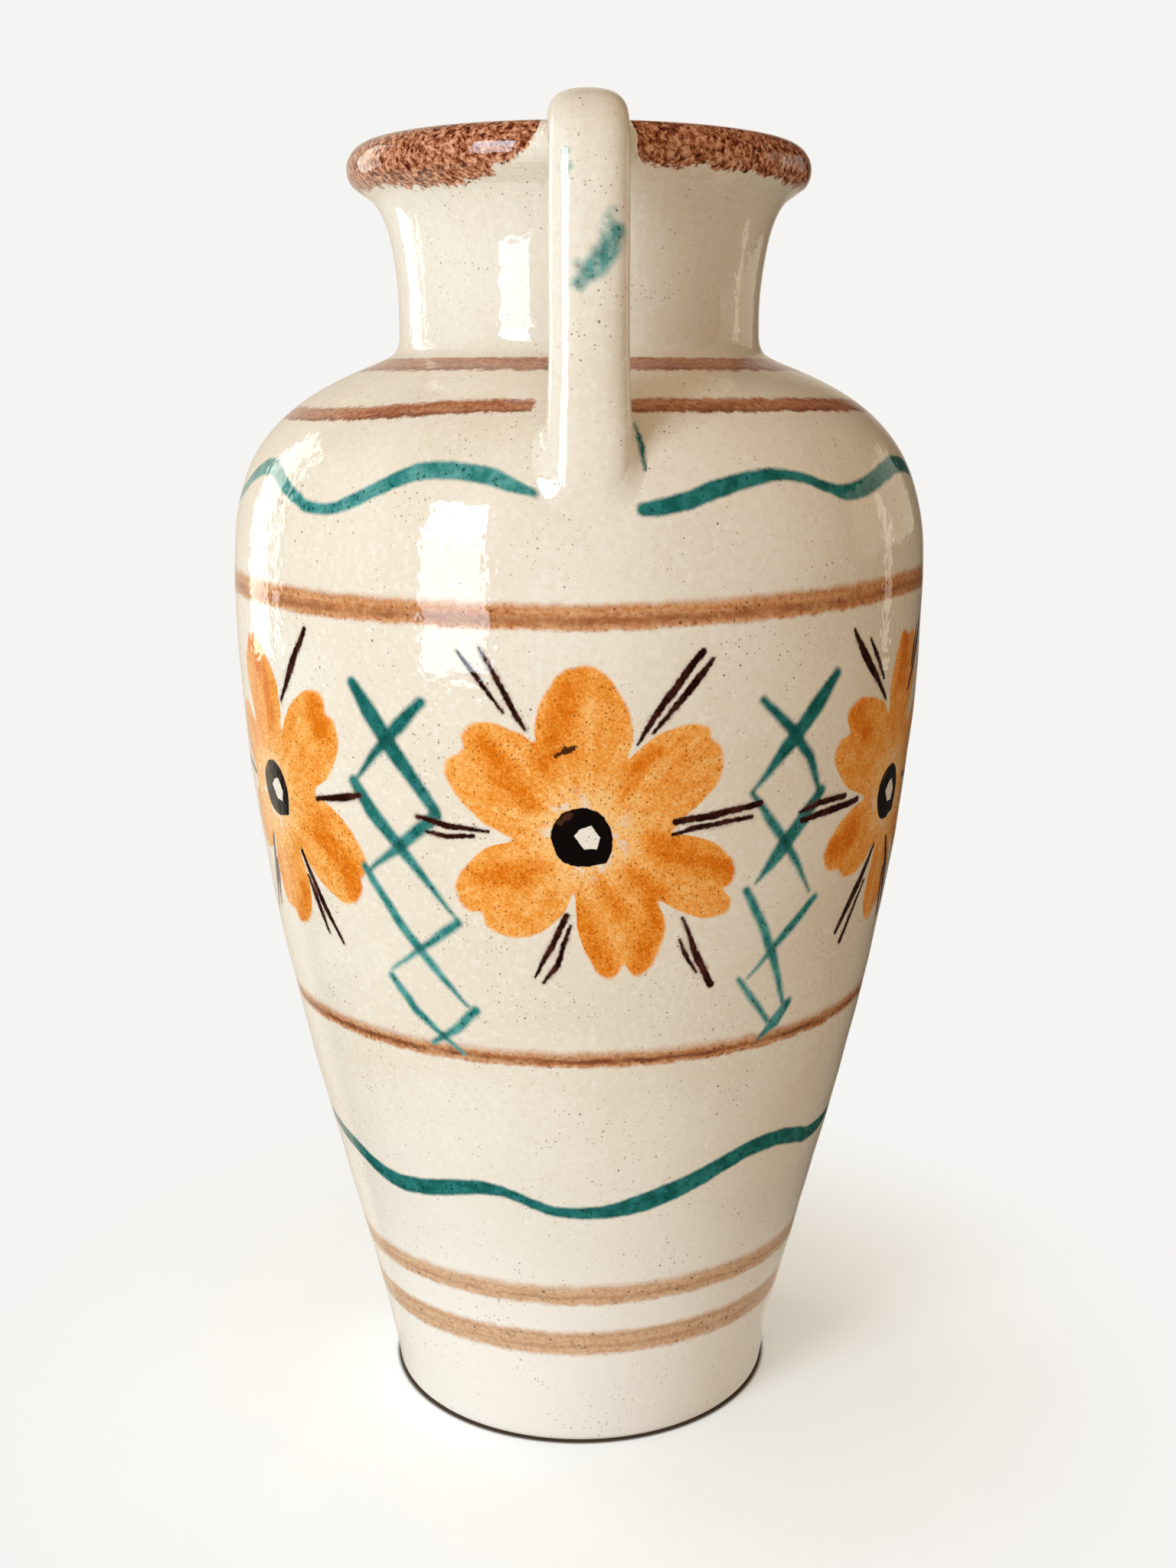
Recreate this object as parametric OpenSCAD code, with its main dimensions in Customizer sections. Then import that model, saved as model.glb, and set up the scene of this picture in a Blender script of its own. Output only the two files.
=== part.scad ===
// Two-handled amphora vase, thrown in sections that are luted together with slip.
// It stands on its foot ring with its axis on Z, and the two handles lie along Y.

/* [Lower body] */
// Radius of the foot where the wall starts
foot_r = 45.9; // [40:0.1:52]
// Radius of the rounded edge under the wall
foot_edge = 2.2; // [1:0.1:4]
// Width of the foot ring that the vase stands on
foot_ring_w = 9; // [6:0.5:14]
// Depth of the turned recess inside the foot ring
foot_recess = 2.5; // [1:0.1:4]
// Lean of the wall at the foot, in degrees from upright
wall_lean = 9; // [5:0.5:13]
// How far up the wall holds its lean
wall_start = 45; // [30:1:60]
// How far below the belly the wall comes upright
wall_finish = 80; // [60:1:95]
// Largest radius of the body, at the belly seam
belly_r = 80.3; // [76:0.1:86]
// Height of the belly seam
belly_z = 198; // [185:1:212]
// Thickness of the body wall
wall_t = 6.5; // [5:0.1:8]
// Thickness of the floor above the recess
floor_t = 7; // [5:0.1:10]
// Radius of the curve between floor and wall
floor_fillet = 14; // [6:0.5:20]

/* [Shoulder] */
// Height of the neck seat above the belly seam
shoulder_h = 53; // [46:0.5:60]
// How far the shoulder stays upright above the belly
shoulder_rise = 27; // [20:0.5:32]
// How far the shoulder runs in flat before the neck
shoulder_run = 27; // [20:0.5:32]
// Slope of the shoulder at the neck, in degrees
shoulder_pitch = 12; // [6:0.5:18]

/* [Neck] */
// Outer radius of the neck at its waist
neck_r = 41.4; // [38:0.1:44]
// How far the neck's foot spreads on the shoulder beyond the waist
neck_spread = 3.4; // [2:0.1:6]
// Height of the waist above the neck seat
neck_waist = 6.5; // [4:0.1:10]
// Height of the neck from its seat to the rim seam
neck_h = 32.4; // [26:0.1:38]
// How far the neck flares beyond the waist at the rim seam
neck_flare = 5; // [3:0.1:7]
// Angle of the flare under the rim, in degrees from upright
flare_angle = 42; // [25:1:50]
// How far the neck stays upright above its waist
flare_start = 12; // [6:0.5:16]
// How far the flare holds its angle below the rim seam
flare_finish = 6; // [3:0.5:9]
// Thickness of the neck wall
neck_wall = 5.5; // [4.5:0.1:7]

/* [Rim] */
// How far the rim stands out beyond the neck at its seam
rim_overhang = 5.3; // [4:0.1:7]
// Radius of the rolled lip
lip_r = 5.5; // [4.8:0.1:6]
// Height of the rim above its seam
rim_h = 12.2; // [11.5:0.1:15]

/* [Handles] */
// Width of a handle, seen from the front
handle_w = 14.8; // [12:0.1:19]
// Width of a handle where it spreads onto the shoulder
handle_root_w = 17; // [14:0.1:22]
// Thickness of a handle
handle_t = 11.5; // [9:0.1:13]
// Fullness of the handle's section, where 2 is an ellipse
handle_fullness = 2.1; // [2:0.1:3]
// Radius of the handle's upper bend at its middle line
handle_bend = 9.5; // [7.5:0.1:11]
// How far the handle's top stands above the rim
handle_rise = 3.5; // [2:0.1:7]
// How far the handle's outer face stands inside the belly's radius
handle_inset = 2; // [1.5:0.1:5]
// Height above its landing at which the handle turns in to the shoulder
handle_toe = 9; // [6:0.5:14]
// Angle by which the handle turns in to the shoulder
toe_angle = 12; // [6:1:20]
// Radius of that turn at the handle's middle line
toe_bend = 30; // [20:1:45]

/* [Slip joints] */
// Thickness of the slip between two pieces
slip_t = 0.6; // [0.4:0.05:1]
// Clearance between slip and clay
seat_clear = 0.1; // [0.08:0.01:0.15]
// Depth of the V channel in a seam
channel_d = 2; // [1:0.1:3]
// Flat land on each side of the V channel
seam_land = 1; // [0.5:0.1:1.5]
// Spread of the wiped slip beside a handle
fillet_w = 2.6; // [1.5:0.1:4]
// Climb of the wiped slip up a handle
fillet_h = 3.6; // [2:0.1:5]

/* [Hidden] */
$fn = 96;

glaze_colour = "#e6d9bd";
rim_colour = "#8c4a2c";
slip_colour = "#d8c6a4";

// Points along the vase's long curves and its short curves
wall_steps = 28;
shoulder_steps = 24;
neck_steps = 16;
corner_steps = 6;
lip_steps = 20;

// Heights of the seams, each the top face of the piece below it
floor_z = foot_recess + floor_t;
neck_z = belly_z + shoulder_h;
rim_z = neck_z + neck_h;
rim_top = rim_z + rim_h;

// Outer radii up the neck, each built on the one below
neck_seat_r = neck_r + neck_spread;
neck_flare_r = neck_r + neck_flare;
rim_r = neck_flare_r + rim_overhang;

// Inner radii at the seams
belly_in = belly_r - wall_t;
throat_r = neck_r - neck_wall;
flare_in = neck_flare_r - neck_wall;

// Middle of the rolled lip
lip_cr = rim_r - lip_r;
lip_cz = rim_top - lip_r;

// Curves

function bezier(p, t) =
    pow(1 - t, 3) * p[0] + 3 * t * pow(1 - t, 2) * p[1] + 3 * t * t * (1 - t) * p[2] + pow(t, 3) * p[3];
function bezier_slope(p, t) =
    pow(1 - t, 2) * (p[1] - p[0]) + 2 * t * (1 - t) * (p[2] - p[1]) + t * t * (p[3] - p[2]);
function bezier_points(p, steps, from = 0, to = 1) =
    [for (i = [0 : steps]) bezier(p, from + (to - from) * i / steps)];
// Point of the curve moved square to it by d, to the left of its direction
function bezier_beside(p, t, d) =
    let (v = bezier_slope(p, t))
    bezier(p, t) + d * [-v[1], v[0]] / norm(v);
function bezier_beside_points(p, d, steps, from, to) =
    [for (i = [0 : steps]) bezier_beside(p, from + (to - from) * i / steps, d)];
// Rounded corner from a to b with its sharp point at c
function corner_points(a, c, b, steps, first = 0) =
    [for (i = [first : steps]) let (t = i / steps) pow(1 - t, 2) * a + 2 * t * (1 - t) * c + t * t * b];
function arc_points(centre, radius, from, to, steps) =
    [for (i = [0 : steps]) let (a = from + (to - from) * i / steps) centre + radius * [cos(a), sin(a)]];
function backwards(list) = [for (i = [len(list) - 1 : -1 : 0]) list[i]];
function smooth_step(x) =
    let (u = min(1, max(0, x)))
    u * u * (3 - 2 * u);

// Outer curve of the lower body, from the foot's rounded edge to the belly seam
wall_foot = [foot_r, foot_edge * (1 - sin(wall_lean))];
wall_curve = [
    wall_foot,
    wall_foot + wall_start * [tan(wall_lean), 1],
    [belly_r, belly_z - wall_finish],
    [belly_r, belly_z]
];
// Outer curve of the shoulder, from the belly seam to the neck seat
shoulder_curve = [
    [belly_r, belly_z + slip_t],
    [belly_r, belly_z + slip_t + shoulder_rise],
    [neck_seat_r, neck_z] + shoulder_run * [cos(shoulder_pitch), -sin(shoulder_pitch)],
    [neck_seat_r, neck_z]
];
// Outer curve of the neck, from its waist to the rim seam
neck_foot = neck_z + slip_t;
flare_curve = [
    [neck_r, neck_foot + neck_waist],
    [neck_r, neck_foot + neck_waist + flare_start],
    [neck_flare_r, rim_z] - flare_finish * [sin(flare_angle), cos(flare_angle)],
    [neck_flare_r, rim_z]
];

// Place along a rising curve where its height, or along the shoulder its radius, is reached
function at_height(p, z, low = 0, high = 1, tries = 26) =
    let (mid = (low + high) / 2)
    tries == 0 ? mid
    : bezier(p, mid)[1] < z ? at_height(p, z, mid, high, tries - 1)
    : at_height(p, z, low, mid, tries - 1);
function at_radius(p, r, low = 0, high = 1, tries = 26) =
    let (mid = (low + high) / 2)
    tries == 0 ? mid
    : bezier(p, mid)[0] > r ? at_radius(p, r, mid, high, tries - 1)
    : at_radius(p, r, low, mid, tries - 1);

// Seams

// Three points of the V, from the outside in
function seam_vee(r_in, r_out, z) =
    let (mid = (r_in + r_out) / 2, half = (r_out - r_in) / 2 - seam_land)
    [[mid + half, z], [mid, z - channel_d], [mid - half, z]];

module slip_ring(r_in, r_out, z, drift = 0)
{
    low = z + seat_clear;
    high = z + slip_t - seat_clear;
    color(slip_colour)
        rotate_extrude()
            polygon(concat(
                [[r_out, low]], seam_vee(r_in, r_out, low), [[r_in, low]],
                [[r_in, high]], backwards(seam_vee(r_in, r_out, high)), [[r_out + drift, high]]
            ));
}

// Thrown sections

module lower_body()
{
    edge_centre = [foot_r - foot_edge * cos(wall_lean), foot_edge];
    ring_in = edge_centre[0] - foot_ring_w;
    inner_low = at_height(wall_curve, floor_z + floor_fillet);
    inner_foot = bezier_beside(wall_curve, inner_low, wall_t);
    inner_corner = [inner_foot[0] - (inner_foot[1] - floor_z) * tan(wall_lean), floor_z];
    color(glaze_colour)
        rotate_extrude()
            polygon(concat(
                [[0, foot_recess], [ring_in - foot_recess, foot_recess], [ring_in, 0]],
                arc_points(edge_centre, foot_edge, -90, -wall_lean, corner_steps),
                bezier_points(wall_curve, wall_steps, 1 / wall_steps),
                seam_vee(belly_in, belly_r, belly_z),
                bezier_beside_points(wall_curve, wall_t, wall_steps, 1, inner_low),
                corner_points(inner_foot, inner_corner, inner_corner - [floor_fillet, 0], corner_steps, 1),
                [[0, floor_z]]
            ));
}

module belly_slip_ring()
{
    slip_ring(belly_in, belly_r, belly_z);
}

module shoulder()
{
    color(glaze_colour)
        rotate_extrude()
            polygon(concat(
                bezier_points(shoulder_curve, shoulder_steps),
                seam_vee(throat_r, neck_seat_r, neck_z),
                [[throat_r, neck_z], [throat_r, neck_z - wall_t]],
                bezier_beside_points(shoulder_curve, wall_t, shoulder_steps, 1, 0),
                backwards(seam_vee(belly_in, belly_r, belly_z + slip_t))
            ));
}

module neck_slip_ring()
{
    slip_ring(throat_r, neck_seat_r, neck_z);
}

module neck()
{
    foot = [neck_seat_r, neck_foot];
    waist = flare_curve[0];
    color(glaze_colour)
        rotate_extrude()
            polygon(concat(
                corner_points(foot, [neck_r, neck_foot], waist, corner_steps),
                bezier_points(flare_curve, neck_steps, 1 / neck_steps),
                seam_vee(flare_in, neck_flare_r, rim_z),
                [for (p = backwards(bezier_points(flare_curve, neck_steps))) p - [neck_wall, 0]],
                [[throat_r, neck_foot]],
                backwards(seam_vee(throat_r, neck_seat_r, neck_foot))
            ));
}

// The flare goes on through the slip, so the rim starts a little wider than the neck ends
rim_drift = slip_t * tan(flare_angle);

module rim_slip_ring()
{
    slip_ring(flare_in, neck_flare_r, rim_z, rim_drift);
}

module rim()
{
    foot_z = rim_z + slip_t;
    color(rim_colour)
        rotate_extrude()
            polygon(concat(
                [[neck_flare_r + rim_drift, foot_z]],
                arc_points([lip_cr, lip_cz], lip_r, -flare_angle, 180, lip_steps),
                [[flare_in, foot_z]],
                backwards(seam_vee(flare_in, neck_flare_r, foot_z))
            ));
}

// Handle route

// The middle line starts at the middle of the lip, runs out on a tangent to the upper bend, drops
// straight down and turns in to the shoulder. It lies in a plane of radius and height.
section_sides = 28;
handle_rings = 44;
cap_rings = 3;

leg_r = belly_r - handle_inset - handle_t / 2;
bend_c = [leg_r - handle_bend, rim_top + handle_rise - handle_t / 2 - handle_bend];
lead = bend_c - [lip_cr, lip_cz];
lead_angle = atan2(lead[1], lead[0]) + asin(handle_bend / norm(lead));
landing_z = bezier(shoulder_curve, at_radius(shoulder_curve, leg_r + handle_t / 2))[1];
toe_z = landing_z + handle_toe;

lead_end = sqrt(lead * lead - handle_bend * handle_bend);
crest_s = lead_end + handle_bend * lead_angle * PI / 180;
bend_end = lead_end + handle_bend * (lead_angle + 90) * PI / 180;
leg_end = bend_end + bend_c[1] - toe_z;
toe_end = leg_end + toe_bend * toe_angle * PI / 180;
leg_middle = (bend_end + leg_end) / 2;
buried_end = toe_end + wall_t + handle_t;

// Radius, height and direction of the middle line at length s along it
function direction_at(s) =
    s < lead_end ? lead_angle
    : s < bend_end ? lead_angle - (s - lead_end) / handle_bend * 180 / PI
    : s < leg_end ? -90
    : max(-90 - toe_angle, -90 - (s - leg_end) / toe_bend * 180 / PI);
function heading(a) = [cos(a), sin(a)];
function outward(a) = [-sin(a), cos(a)];
function middle_at(s) =
    let (a = direction_at(s))
    s < lead_end ? [lip_cr, lip_cz] + s * heading(a)
    : s < bend_end ? bend_c + handle_bend * outward(a)
    : s < leg_end ? [leg_r, bend_c[1] - (s - bend_end)]
    : [leg_r - toe_bend, toe_z] + toe_bend * outward(a) + max(0, s - toe_end) * heading(a);

// The section thins towards the lip, which it has to seat on, and spreads towards the shoulder
tip_t = 1.5 * lip_r;
function half_thickness(s) = (tip_t + (handle_t - tip_t) * smooth_step(s / crest_s)) / 2;
function half_width(s) =
    (handle_w + (handle_root_w - handle_w) * smooth_step((s - leg_middle) / (toe_end - leg_middle))) / 2;
function full_power(x) = sign(x) * pow(abs(x), 2 / handle_fullness);

// Point of the handle at angle a round its section, at a share q of the section and d outside it
function handle_point(a, q, d, s) =
    let (
        hw = half_width(s),
        ht = half_thickness(s),
        n = [cos(a) / hw, sin(a) / ht],
        across = q * hw * full_power(cos(a)) + d * n[0] / norm(n),
        out = q * ht * full_power(sin(a)) + d * n[1] / norm(n),
        p = middle_at(s) + out * outward(direction_at(s))
    )
    [across, -p[0], p[1]];

// Distance of a point from the lip and from the shoulder
function lip_gap(p) = norm([norm([p[0], p[1]]) - lip_cr, p[2] - lip_cz]) - lip_r;
function shoulder_gap(p) =
    let (
        t = at_height(shoulder_curve, p[2]),
        v = bezier_slope(shoulder_curve, t)
    )
    (norm([p[0], p[1]]) - bezier(shoulder_curve, t)[0]) * v[1] / norm(v);
function seat_gap(upper, p) = upper ? lip_gap(p) : shoulder_gap(p);

// Length along the middle line at which a line along the handle comes to a gap from its seat
function seat_at(upper, a, q, d, gap, inside, outside, tries = 26) =
    let (mid = (inside + outside) / 2)
    tries == 0 ? outside
    : seat_gap(upper, handle_point(a, q, d, mid)) > gap ? seat_at(upper, a, q, d, gap, inside, mid, tries - 1)
    : seat_at(upper, a, q, d, gap, mid, outside, tries - 1);
function seat_s(upper, a, q, d, gap) = seat_at(upper, a, q, d, gap, upper ? 0 : buried_end, leg_middle);

function side_angle(i) = 360 * i / section_sides;
function seat_ring(upper, q, d, gap) =
    [for (i = [0 : section_sides - 1])
        let (a = side_angle(i)) handle_point(a, q, d, seat_s(upper, a, q, d, gap))];

// Closed skin over rings of points, with one point closing each end
module skin(first, rings, last)
{
    sides = len(rings[0]);
    count = len(rings);
    end = count * sides + 1;
    function at(ring, side) = 1 + ring * sides + side % sides;
    polyhedron(
        points = concat([first], [for (ring = rings) each ring], [last]),
        faces = concat(
            [for (i = [0 : sides - 1]) [0, at(0, i), at(0, i + 1)]],
            [for (k = [0 : count - 2], i = [0 : sides - 1]) [at(k, i), at(k + 1, i), at(k + 1, i + 1)]],
            [for (k = [0 : count - 2], i = [0 : sides - 1]) [at(k, i), at(k + 1, i + 1), at(k, i + 1)]],
            [for (i = [0 : sides - 1]) [at(count - 1, i), end, at(count - 1, i + 1)]]
        )
    );
}

module pulled_handle()
{
    gap = slip_t + seat_clear;
    shares = [for (i = [1 : cap_rings - 1]) i / cap_rings];
    angles = [for (i = [0 : section_sides - 1]) side_angle(i)];
    starts = [for (a = angles) seat_s(true, a, 1, 0, gap)];
    ends = [for (a = angles) seat_s(false, a, 1, 0, gap)];
    color(glaze_colour)
        skin(
            handle_point(0, 0, 0, seat_s(true, 0, 0, 0, gap)),
            concat(
                [for (q = shares) seat_ring(true, q, 0, gap)],
                [for (k = [0 : handle_rings]) let (u = k / handle_rings)
                    [for (i = [0 : section_sides - 1])
                        handle_point(angles[i], 1, 0, starts[i] * (1 - u) + ends[i] * u)]],
                [for (q = backwards(shares)) seat_ring(false, q, 0, gap)]
            ),
            handle_point(0, 0, 0, seat_s(false, 0, 0, 0, gap))
        );
}

// The slip is a pad between the seat and the handle's end, with a collar wiped up the handle's
// sides. The collar spreads by fillet_w at the sides. In front and behind it spreads less: the lip
// is too narrow for more, and on the shoulder the handle comes down at a slant.
lip_spread = 0.17 * lip_r;
toe_spread = 0.7 * fillet_w;
feather_t = 2 * seat_clear;
fillet_steps = 5;

function collar_spread(upper, a) =
    fillet_w * pow(cos(a), 2) + (upper ? lip_spread : toe_spread) * pow(sin(a), 2);

module handle_slip(upper)
{
    up = upper ? 1 : -1;
    top_gap = slip_t;
    edge_gap = seat_clear + feather_t;
    shares = [for (i = [1 : cap_rings - 1]) i / cap_rings];
    angles = [for (i = [0 : section_sides - 1]) side_angle(i)];
    corners = [for (a = angles) seat_s(upper, a, 1, seat_clear, top_gap)];
    brink = seat_clear + feather_t;
    crown = [for (i = [0 : section_sides - 1])
        handle_point(angles[i], 1, brink, corners[i] + up * fillet_h)];
    crease = [for (i = [0 : section_sides - 1])
        handle_point(angles[i], 1, brink, corners[i])];
    hem = [for (a = angles)
        let (d = collar_spread(upper, a)) handle_point(a, 1, d, seat_s(upper, a, 1, d, edge_gap))];
    sole = [for (a = angles)
        let (d = collar_spread(upper, a)) handle_point(a, 1, d, seat_s(upper, a, 1, d, seat_clear))];
    rings = concat(
        [for (q = shares) seat_ring(upper, q, 0, top_gap)],
        [for (climb = [0, fillet_h / 2, fillet_h])
            [for (i = [0 : section_sides - 1])
                handle_point(angles[i], 1, seat_clear, corners[i] + up * climb)]],
        [for (k = [0 : fillet_steps]) let (t = k / fillet_steps)
            [for (i = [0 : section_sides - 1])
                pow(1 - t, 2) * crown[i] + 2 * t * (1 - t) * crease[i] + t * t * hem[i]]],
        [sole],
        [seat_ring(upper, 1, 0, seat_clear)],
        [for (q = backwards(shares)) seat_ring(upper, q, 0, seat_clear)]
    );
    over = handle_point(0, 0, 0, seat_s(upper, 0, 0, 0, top_gap));
    under = handle_point(0, 0, 0, seat_s(upper, 0, 0, 0, seat_clear));
    color(slip_colour)
        if (upper)
            skin(under, backwards(rings), over);
        else
            skin(over, rings, under);
}

module front_handle()
{
    pulled_handle();
}

module front_handle_upper_slip()
{
    handle_slip(true);
}

module front_handle_lower_slip()
{
    handle_slip(false);
}

module rear_handle()
{
    rotate(180) pulled_handle();
}

module rear_handle_upper_slip()
{
    rotate(180) handle_slip(true);
}

module rear_handle_lower_slip()
{
    rotate(180) handle_slip(false);
}

lower_body();
belly_slip_ring();
shoulder();
neck_slip_ring();
neck();
rim_slip_ring();
rim();
front_handle();
front_handle_upper_slip();
front_handle_lower_slip();
rear_handle();
rear_handle_upper_slip();
rear_handle_lower_slip();
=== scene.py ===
import math

import bpy
import numpy as np
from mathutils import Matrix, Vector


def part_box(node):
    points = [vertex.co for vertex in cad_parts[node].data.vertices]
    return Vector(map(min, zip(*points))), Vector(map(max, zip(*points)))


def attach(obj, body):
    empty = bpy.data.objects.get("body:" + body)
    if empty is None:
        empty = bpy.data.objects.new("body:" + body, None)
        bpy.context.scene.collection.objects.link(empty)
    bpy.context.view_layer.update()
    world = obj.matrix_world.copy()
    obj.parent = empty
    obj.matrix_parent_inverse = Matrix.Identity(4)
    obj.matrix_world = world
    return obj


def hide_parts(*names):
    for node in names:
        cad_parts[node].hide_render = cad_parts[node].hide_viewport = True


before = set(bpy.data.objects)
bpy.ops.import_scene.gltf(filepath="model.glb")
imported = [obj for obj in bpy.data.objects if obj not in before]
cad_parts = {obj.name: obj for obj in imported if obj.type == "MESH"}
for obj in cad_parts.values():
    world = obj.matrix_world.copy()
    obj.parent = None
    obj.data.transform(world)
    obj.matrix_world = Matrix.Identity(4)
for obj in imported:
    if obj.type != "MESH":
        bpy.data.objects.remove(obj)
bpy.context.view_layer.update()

# Shapes are worked out in millimetres and degrees. Angles round the vase run from the front
# handle, on -Y, towards +X. Heights run up from the foot.
MM = 0.001


def extent(node):
    """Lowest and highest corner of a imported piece, in millimetres."""
    low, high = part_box(node)
    return low / MM, high / MM


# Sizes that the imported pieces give
belly_r = extent("lower_body")[1].x
belly_z = extent("lower_body")[1].z
shoulder_top = extent("shoulder")[1].z
rim_z = extent("neck")[1].z
neck_flare_r = extent("neck")[1].x
rim_solid_r = extent("rim")[1].x
rim_top = extent("rim")[1].z
handle_top = extent("front_handle")[1].z
handle_face = -extent("front_handle")[0].y

# Sizes of the thrown sections. Where they differ from the solids, by 2.5 mm at most, they follow
# the vase's own outline more closely: the shoulder runs lower to the neck, and the lip, the handles
# and the foot are a little wider.
FOOT_R = 46.7
FOOT_EDGE = 1.6
FOOT_RING_W = 9.0
FOOT_RECESS = 2.5
WALL_LEAN = math.radians(9)
WALL_START = 45.0
WALL_FINISH = 80.0
WALL_T = 6.5
FLOOR_T = 7.0
FLOOR_FILLET = 14.0
SHOULDER_RISE = 27.7
SHOULDER_RUN = 31.9
SHOULDER_PITCH = math.radians(19.2)
SEAT_DROP = 1.45
NECK_SPREAD = 2.3
NECK_FLARE = 5.15
NECK_WAIST = 5.85
FLARE_ANGLE = math.radians(40)
FLARE_START = 14.5
FLARE_FINISH = 4.5
NECK_WALL = 5.5
LIP_R = 5.3
LIP_SWELL = 0.6
SLIP_T = 0.6
CHANNEL_D = 2.0
SEAM_LAND = 1.0

# Sizes of the handles
HANDLE_W = 15.5
HANDLE_ROOT_W = 17.4
HANDLE_T = 11.5
TIP_T = 1.5 * LIP_R
HANDLE_FULLNESS = 2.6
HANDLE_BEND = 9.5
HANDLE_TOE = 9.0
TOE_ANGLE = math.radians(12)
TOE_BEND = 30.0

# Wiped slip round the handles' ends: its spread on the seat and its climb up the handle
LIP_FILLET = 3.6
LIP_FILLET_ENDS = 0.9
LIP_CLIMB = 5.5
ROOT_FILLET = 4.4
ROOT_FILLET_ENDS = 2.2
ROOT_CLIMB = 7.0

# How far a collar of slip lies under the surfaces that its edges run out on, where its pad lies over
# and under the seat, and the share of the handle's section that its core takes
TUCK = 0.12
PAD_OVER = 0.4
PAD_UNDER = 0.6
CORE_SHARE = 0.9

# Heights where the painted zones change
LOWER_ZONE_TOP = 96.0
NECK_PLAIN_TOP = 276.0

# Unevenness left by throwing, in millimetres: the outside's oval, lobes, ridges and dents, and the
# inside's spiral. The outside is even by the handles, from this height up.
OVAL, LOBES, RIDGES, FINE_RIDGES, DENTS, SPIRAL = 0.13, 0.07, 0.07, 0.03, 0.06, 0.3
EVEN_BY_HANDLES_Z = 205.0

# Fineness of the meshes
COLUMNS = 288
EDGE_ROWS = 8
WALL_ROWS = 140
SHOULDER_ROWS = 64
CORNER_ROWS = 12
NECK_ROWS = 28
UNDER_LIP_ROWS = 4
LIP_ROWS = 48
STRAIGHT_ROWS = 6
WALL_INSIDE_ROWS = 89
SHOULDER_INSIDE_ROWS = 59
NECK_INSIDE_ROWS = 39
HANDLE_SIDES = 64
HANDLE_RINGS = 150
FILLET_ROWS = 14
CAP_SHARES = (0.35, 0.7)
# Steps in halving a length to find a place on it, and along the shoulder to find where a handle lands
HALVINGS = 30
LANDING_STEPS = 2000
# The wiped neck seam: rows below it and above it that are drawn smooth, and how often
WIPED_BELOW, WIPED_ABOVE, WIPES = 2, 7, 8

floor_z = FOOT_RECESS + FLOOR_T
neck_z = shoulder_top - SEAT_DROP
rim_r = rim_solid_r + LIP_SWELL
neck_r = neck_flare_r - NECK_FLARE
neck_seat_r = neck_r + NECK_SPREAD
neck_foot = neck_z + SLIP_T
throat_r = neck_r - NECK_WALL
flare_in = neck_flare_r - NECK_WALL
belly_in = belly_r - WALL_T
lip_c = np.array([rim_r - LIP_R, rim_top - LIP_R])


# Curves in the plane of radius and height

def bezier(points, t):
    a, b, c, d = (np.array(p, float) for p in points)
    t = np.asarray(t, float)[..., None]
    return (1 - t) ** 3 * a + 3 * t * (1 - t) ** 2 * b + 3 * t * t * (1 - t) * c + t ** 3 * d


def bezier_slope(points, t):
    a, b, c, d = (np.array(p, float) for p in points)
    t = np.asarray(t, float)[..., None]
    return (1 - t) ** 2 * (b - a) + 2 * t * (1 - t) * (c - b) + t * t * (d - c)


def bezier_beside(points, t, gap):
    """The curve moved by gap to the left of its direction."""
    slope = bezier_slope(points, t)
    left = np.stack([-slope[..., 1], slope[..., 0]], -1)
    return bezier(points, t) + gap * left / np.linalg.norm(slope, axis=-1, keepdims=True)


def at_height(points, z):
    """Place along a rising curve where it comes to height z."""
    low, high = np.zeros(np.shape(z)), np.ones(np.shape(z))
    for _ in range(HALVINGS):
        middle = (low + high) / 2
        below = bezier(points, middle)[..., 1] < z
        low, high = np.where(below, middle, low), np.where(below, high, middle)
    return (low + high) / 2


def corner(a, sharp, b, steps):
    """Rounded corner from a to b."""
    t = np.linspace(0, 1, steps + 1)[:, None]
    a, sharp, b = (np.array(p, float) for p in (a, sharp, b))
    return (1 - t) ** 2 * a + 2 * t * (1 - t) * sharp + t * t * b


def arc(centre, radius, start, end, steps):
    angle = np.linspace(start, end, steps + 1)
    return np.array(centre) + radius * np.stack([np.cos(angle), np.sin(angle)], 1)


def line(a, b, steps=1):
    return np.linspace(np.array(a, float), np.array(b, float), steps + 1)


wall_foot = np.array([FOOT_R, FOOT_EDGE * (1 - math.sin(WALL_LEAN))])
wall_curve = [
    wall_foot,
    wall_foot + WALL_START * np.array([math.tan(WALL_LEAN), 1]),
    (belly_r, belly_z - WALL_FINISH),
    (belly_r, belly_z),
]
shoulder_in = np.array([math.cos(SHOULDER_PITCH), -math.sin(SHOULDER_PITCH)])
shoulder_curve = [
    (belly_r, belly_z + SLIP_T),
    (belly_r, belly_z + SLIP_T + SHOULDER_RISE),
    np.array([neck_seat_r, neck_z]) + SHOULDER_RUN * shoulder_in,
    (neck_seat_r, neck_z),
]
flare_out = np.array([math.sin(FLARE_ANGLE), math.cos(FLARE_ANGLE)])
flare_curve = [
    (neck_r, neck_foot + NECK_WAIST),
    (neck_r, neck_foot + NECK_WAIST + FLARE_START),
    np.array([neck_flare_r, rim_z]) - FLARE_FINISH * flare_out,
    (neck_flare_r, rim_z),
]
foot_edge_c = np.array([FOOT_R - FOOT_EDGE * math.cos(WALL_LEAN), FOOT_EDGE])
foot_ring_in = foot_edge_c[0] - FOOT_RING_W
rim_foot = np.array([neck_flare_r + SLIP_T * math.tan(FLARE_ANGLE), rim_z + SLIP_T])
lip_start = lip_c + LIP_R * np.array([math.cos(FLARE_ANGLE), -math.sin(FLARE_ANGLE)])


# Surfaces

column_angle = np.linspace(0, 2 * math.pi, COLUMNS, endpoint=False)


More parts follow.
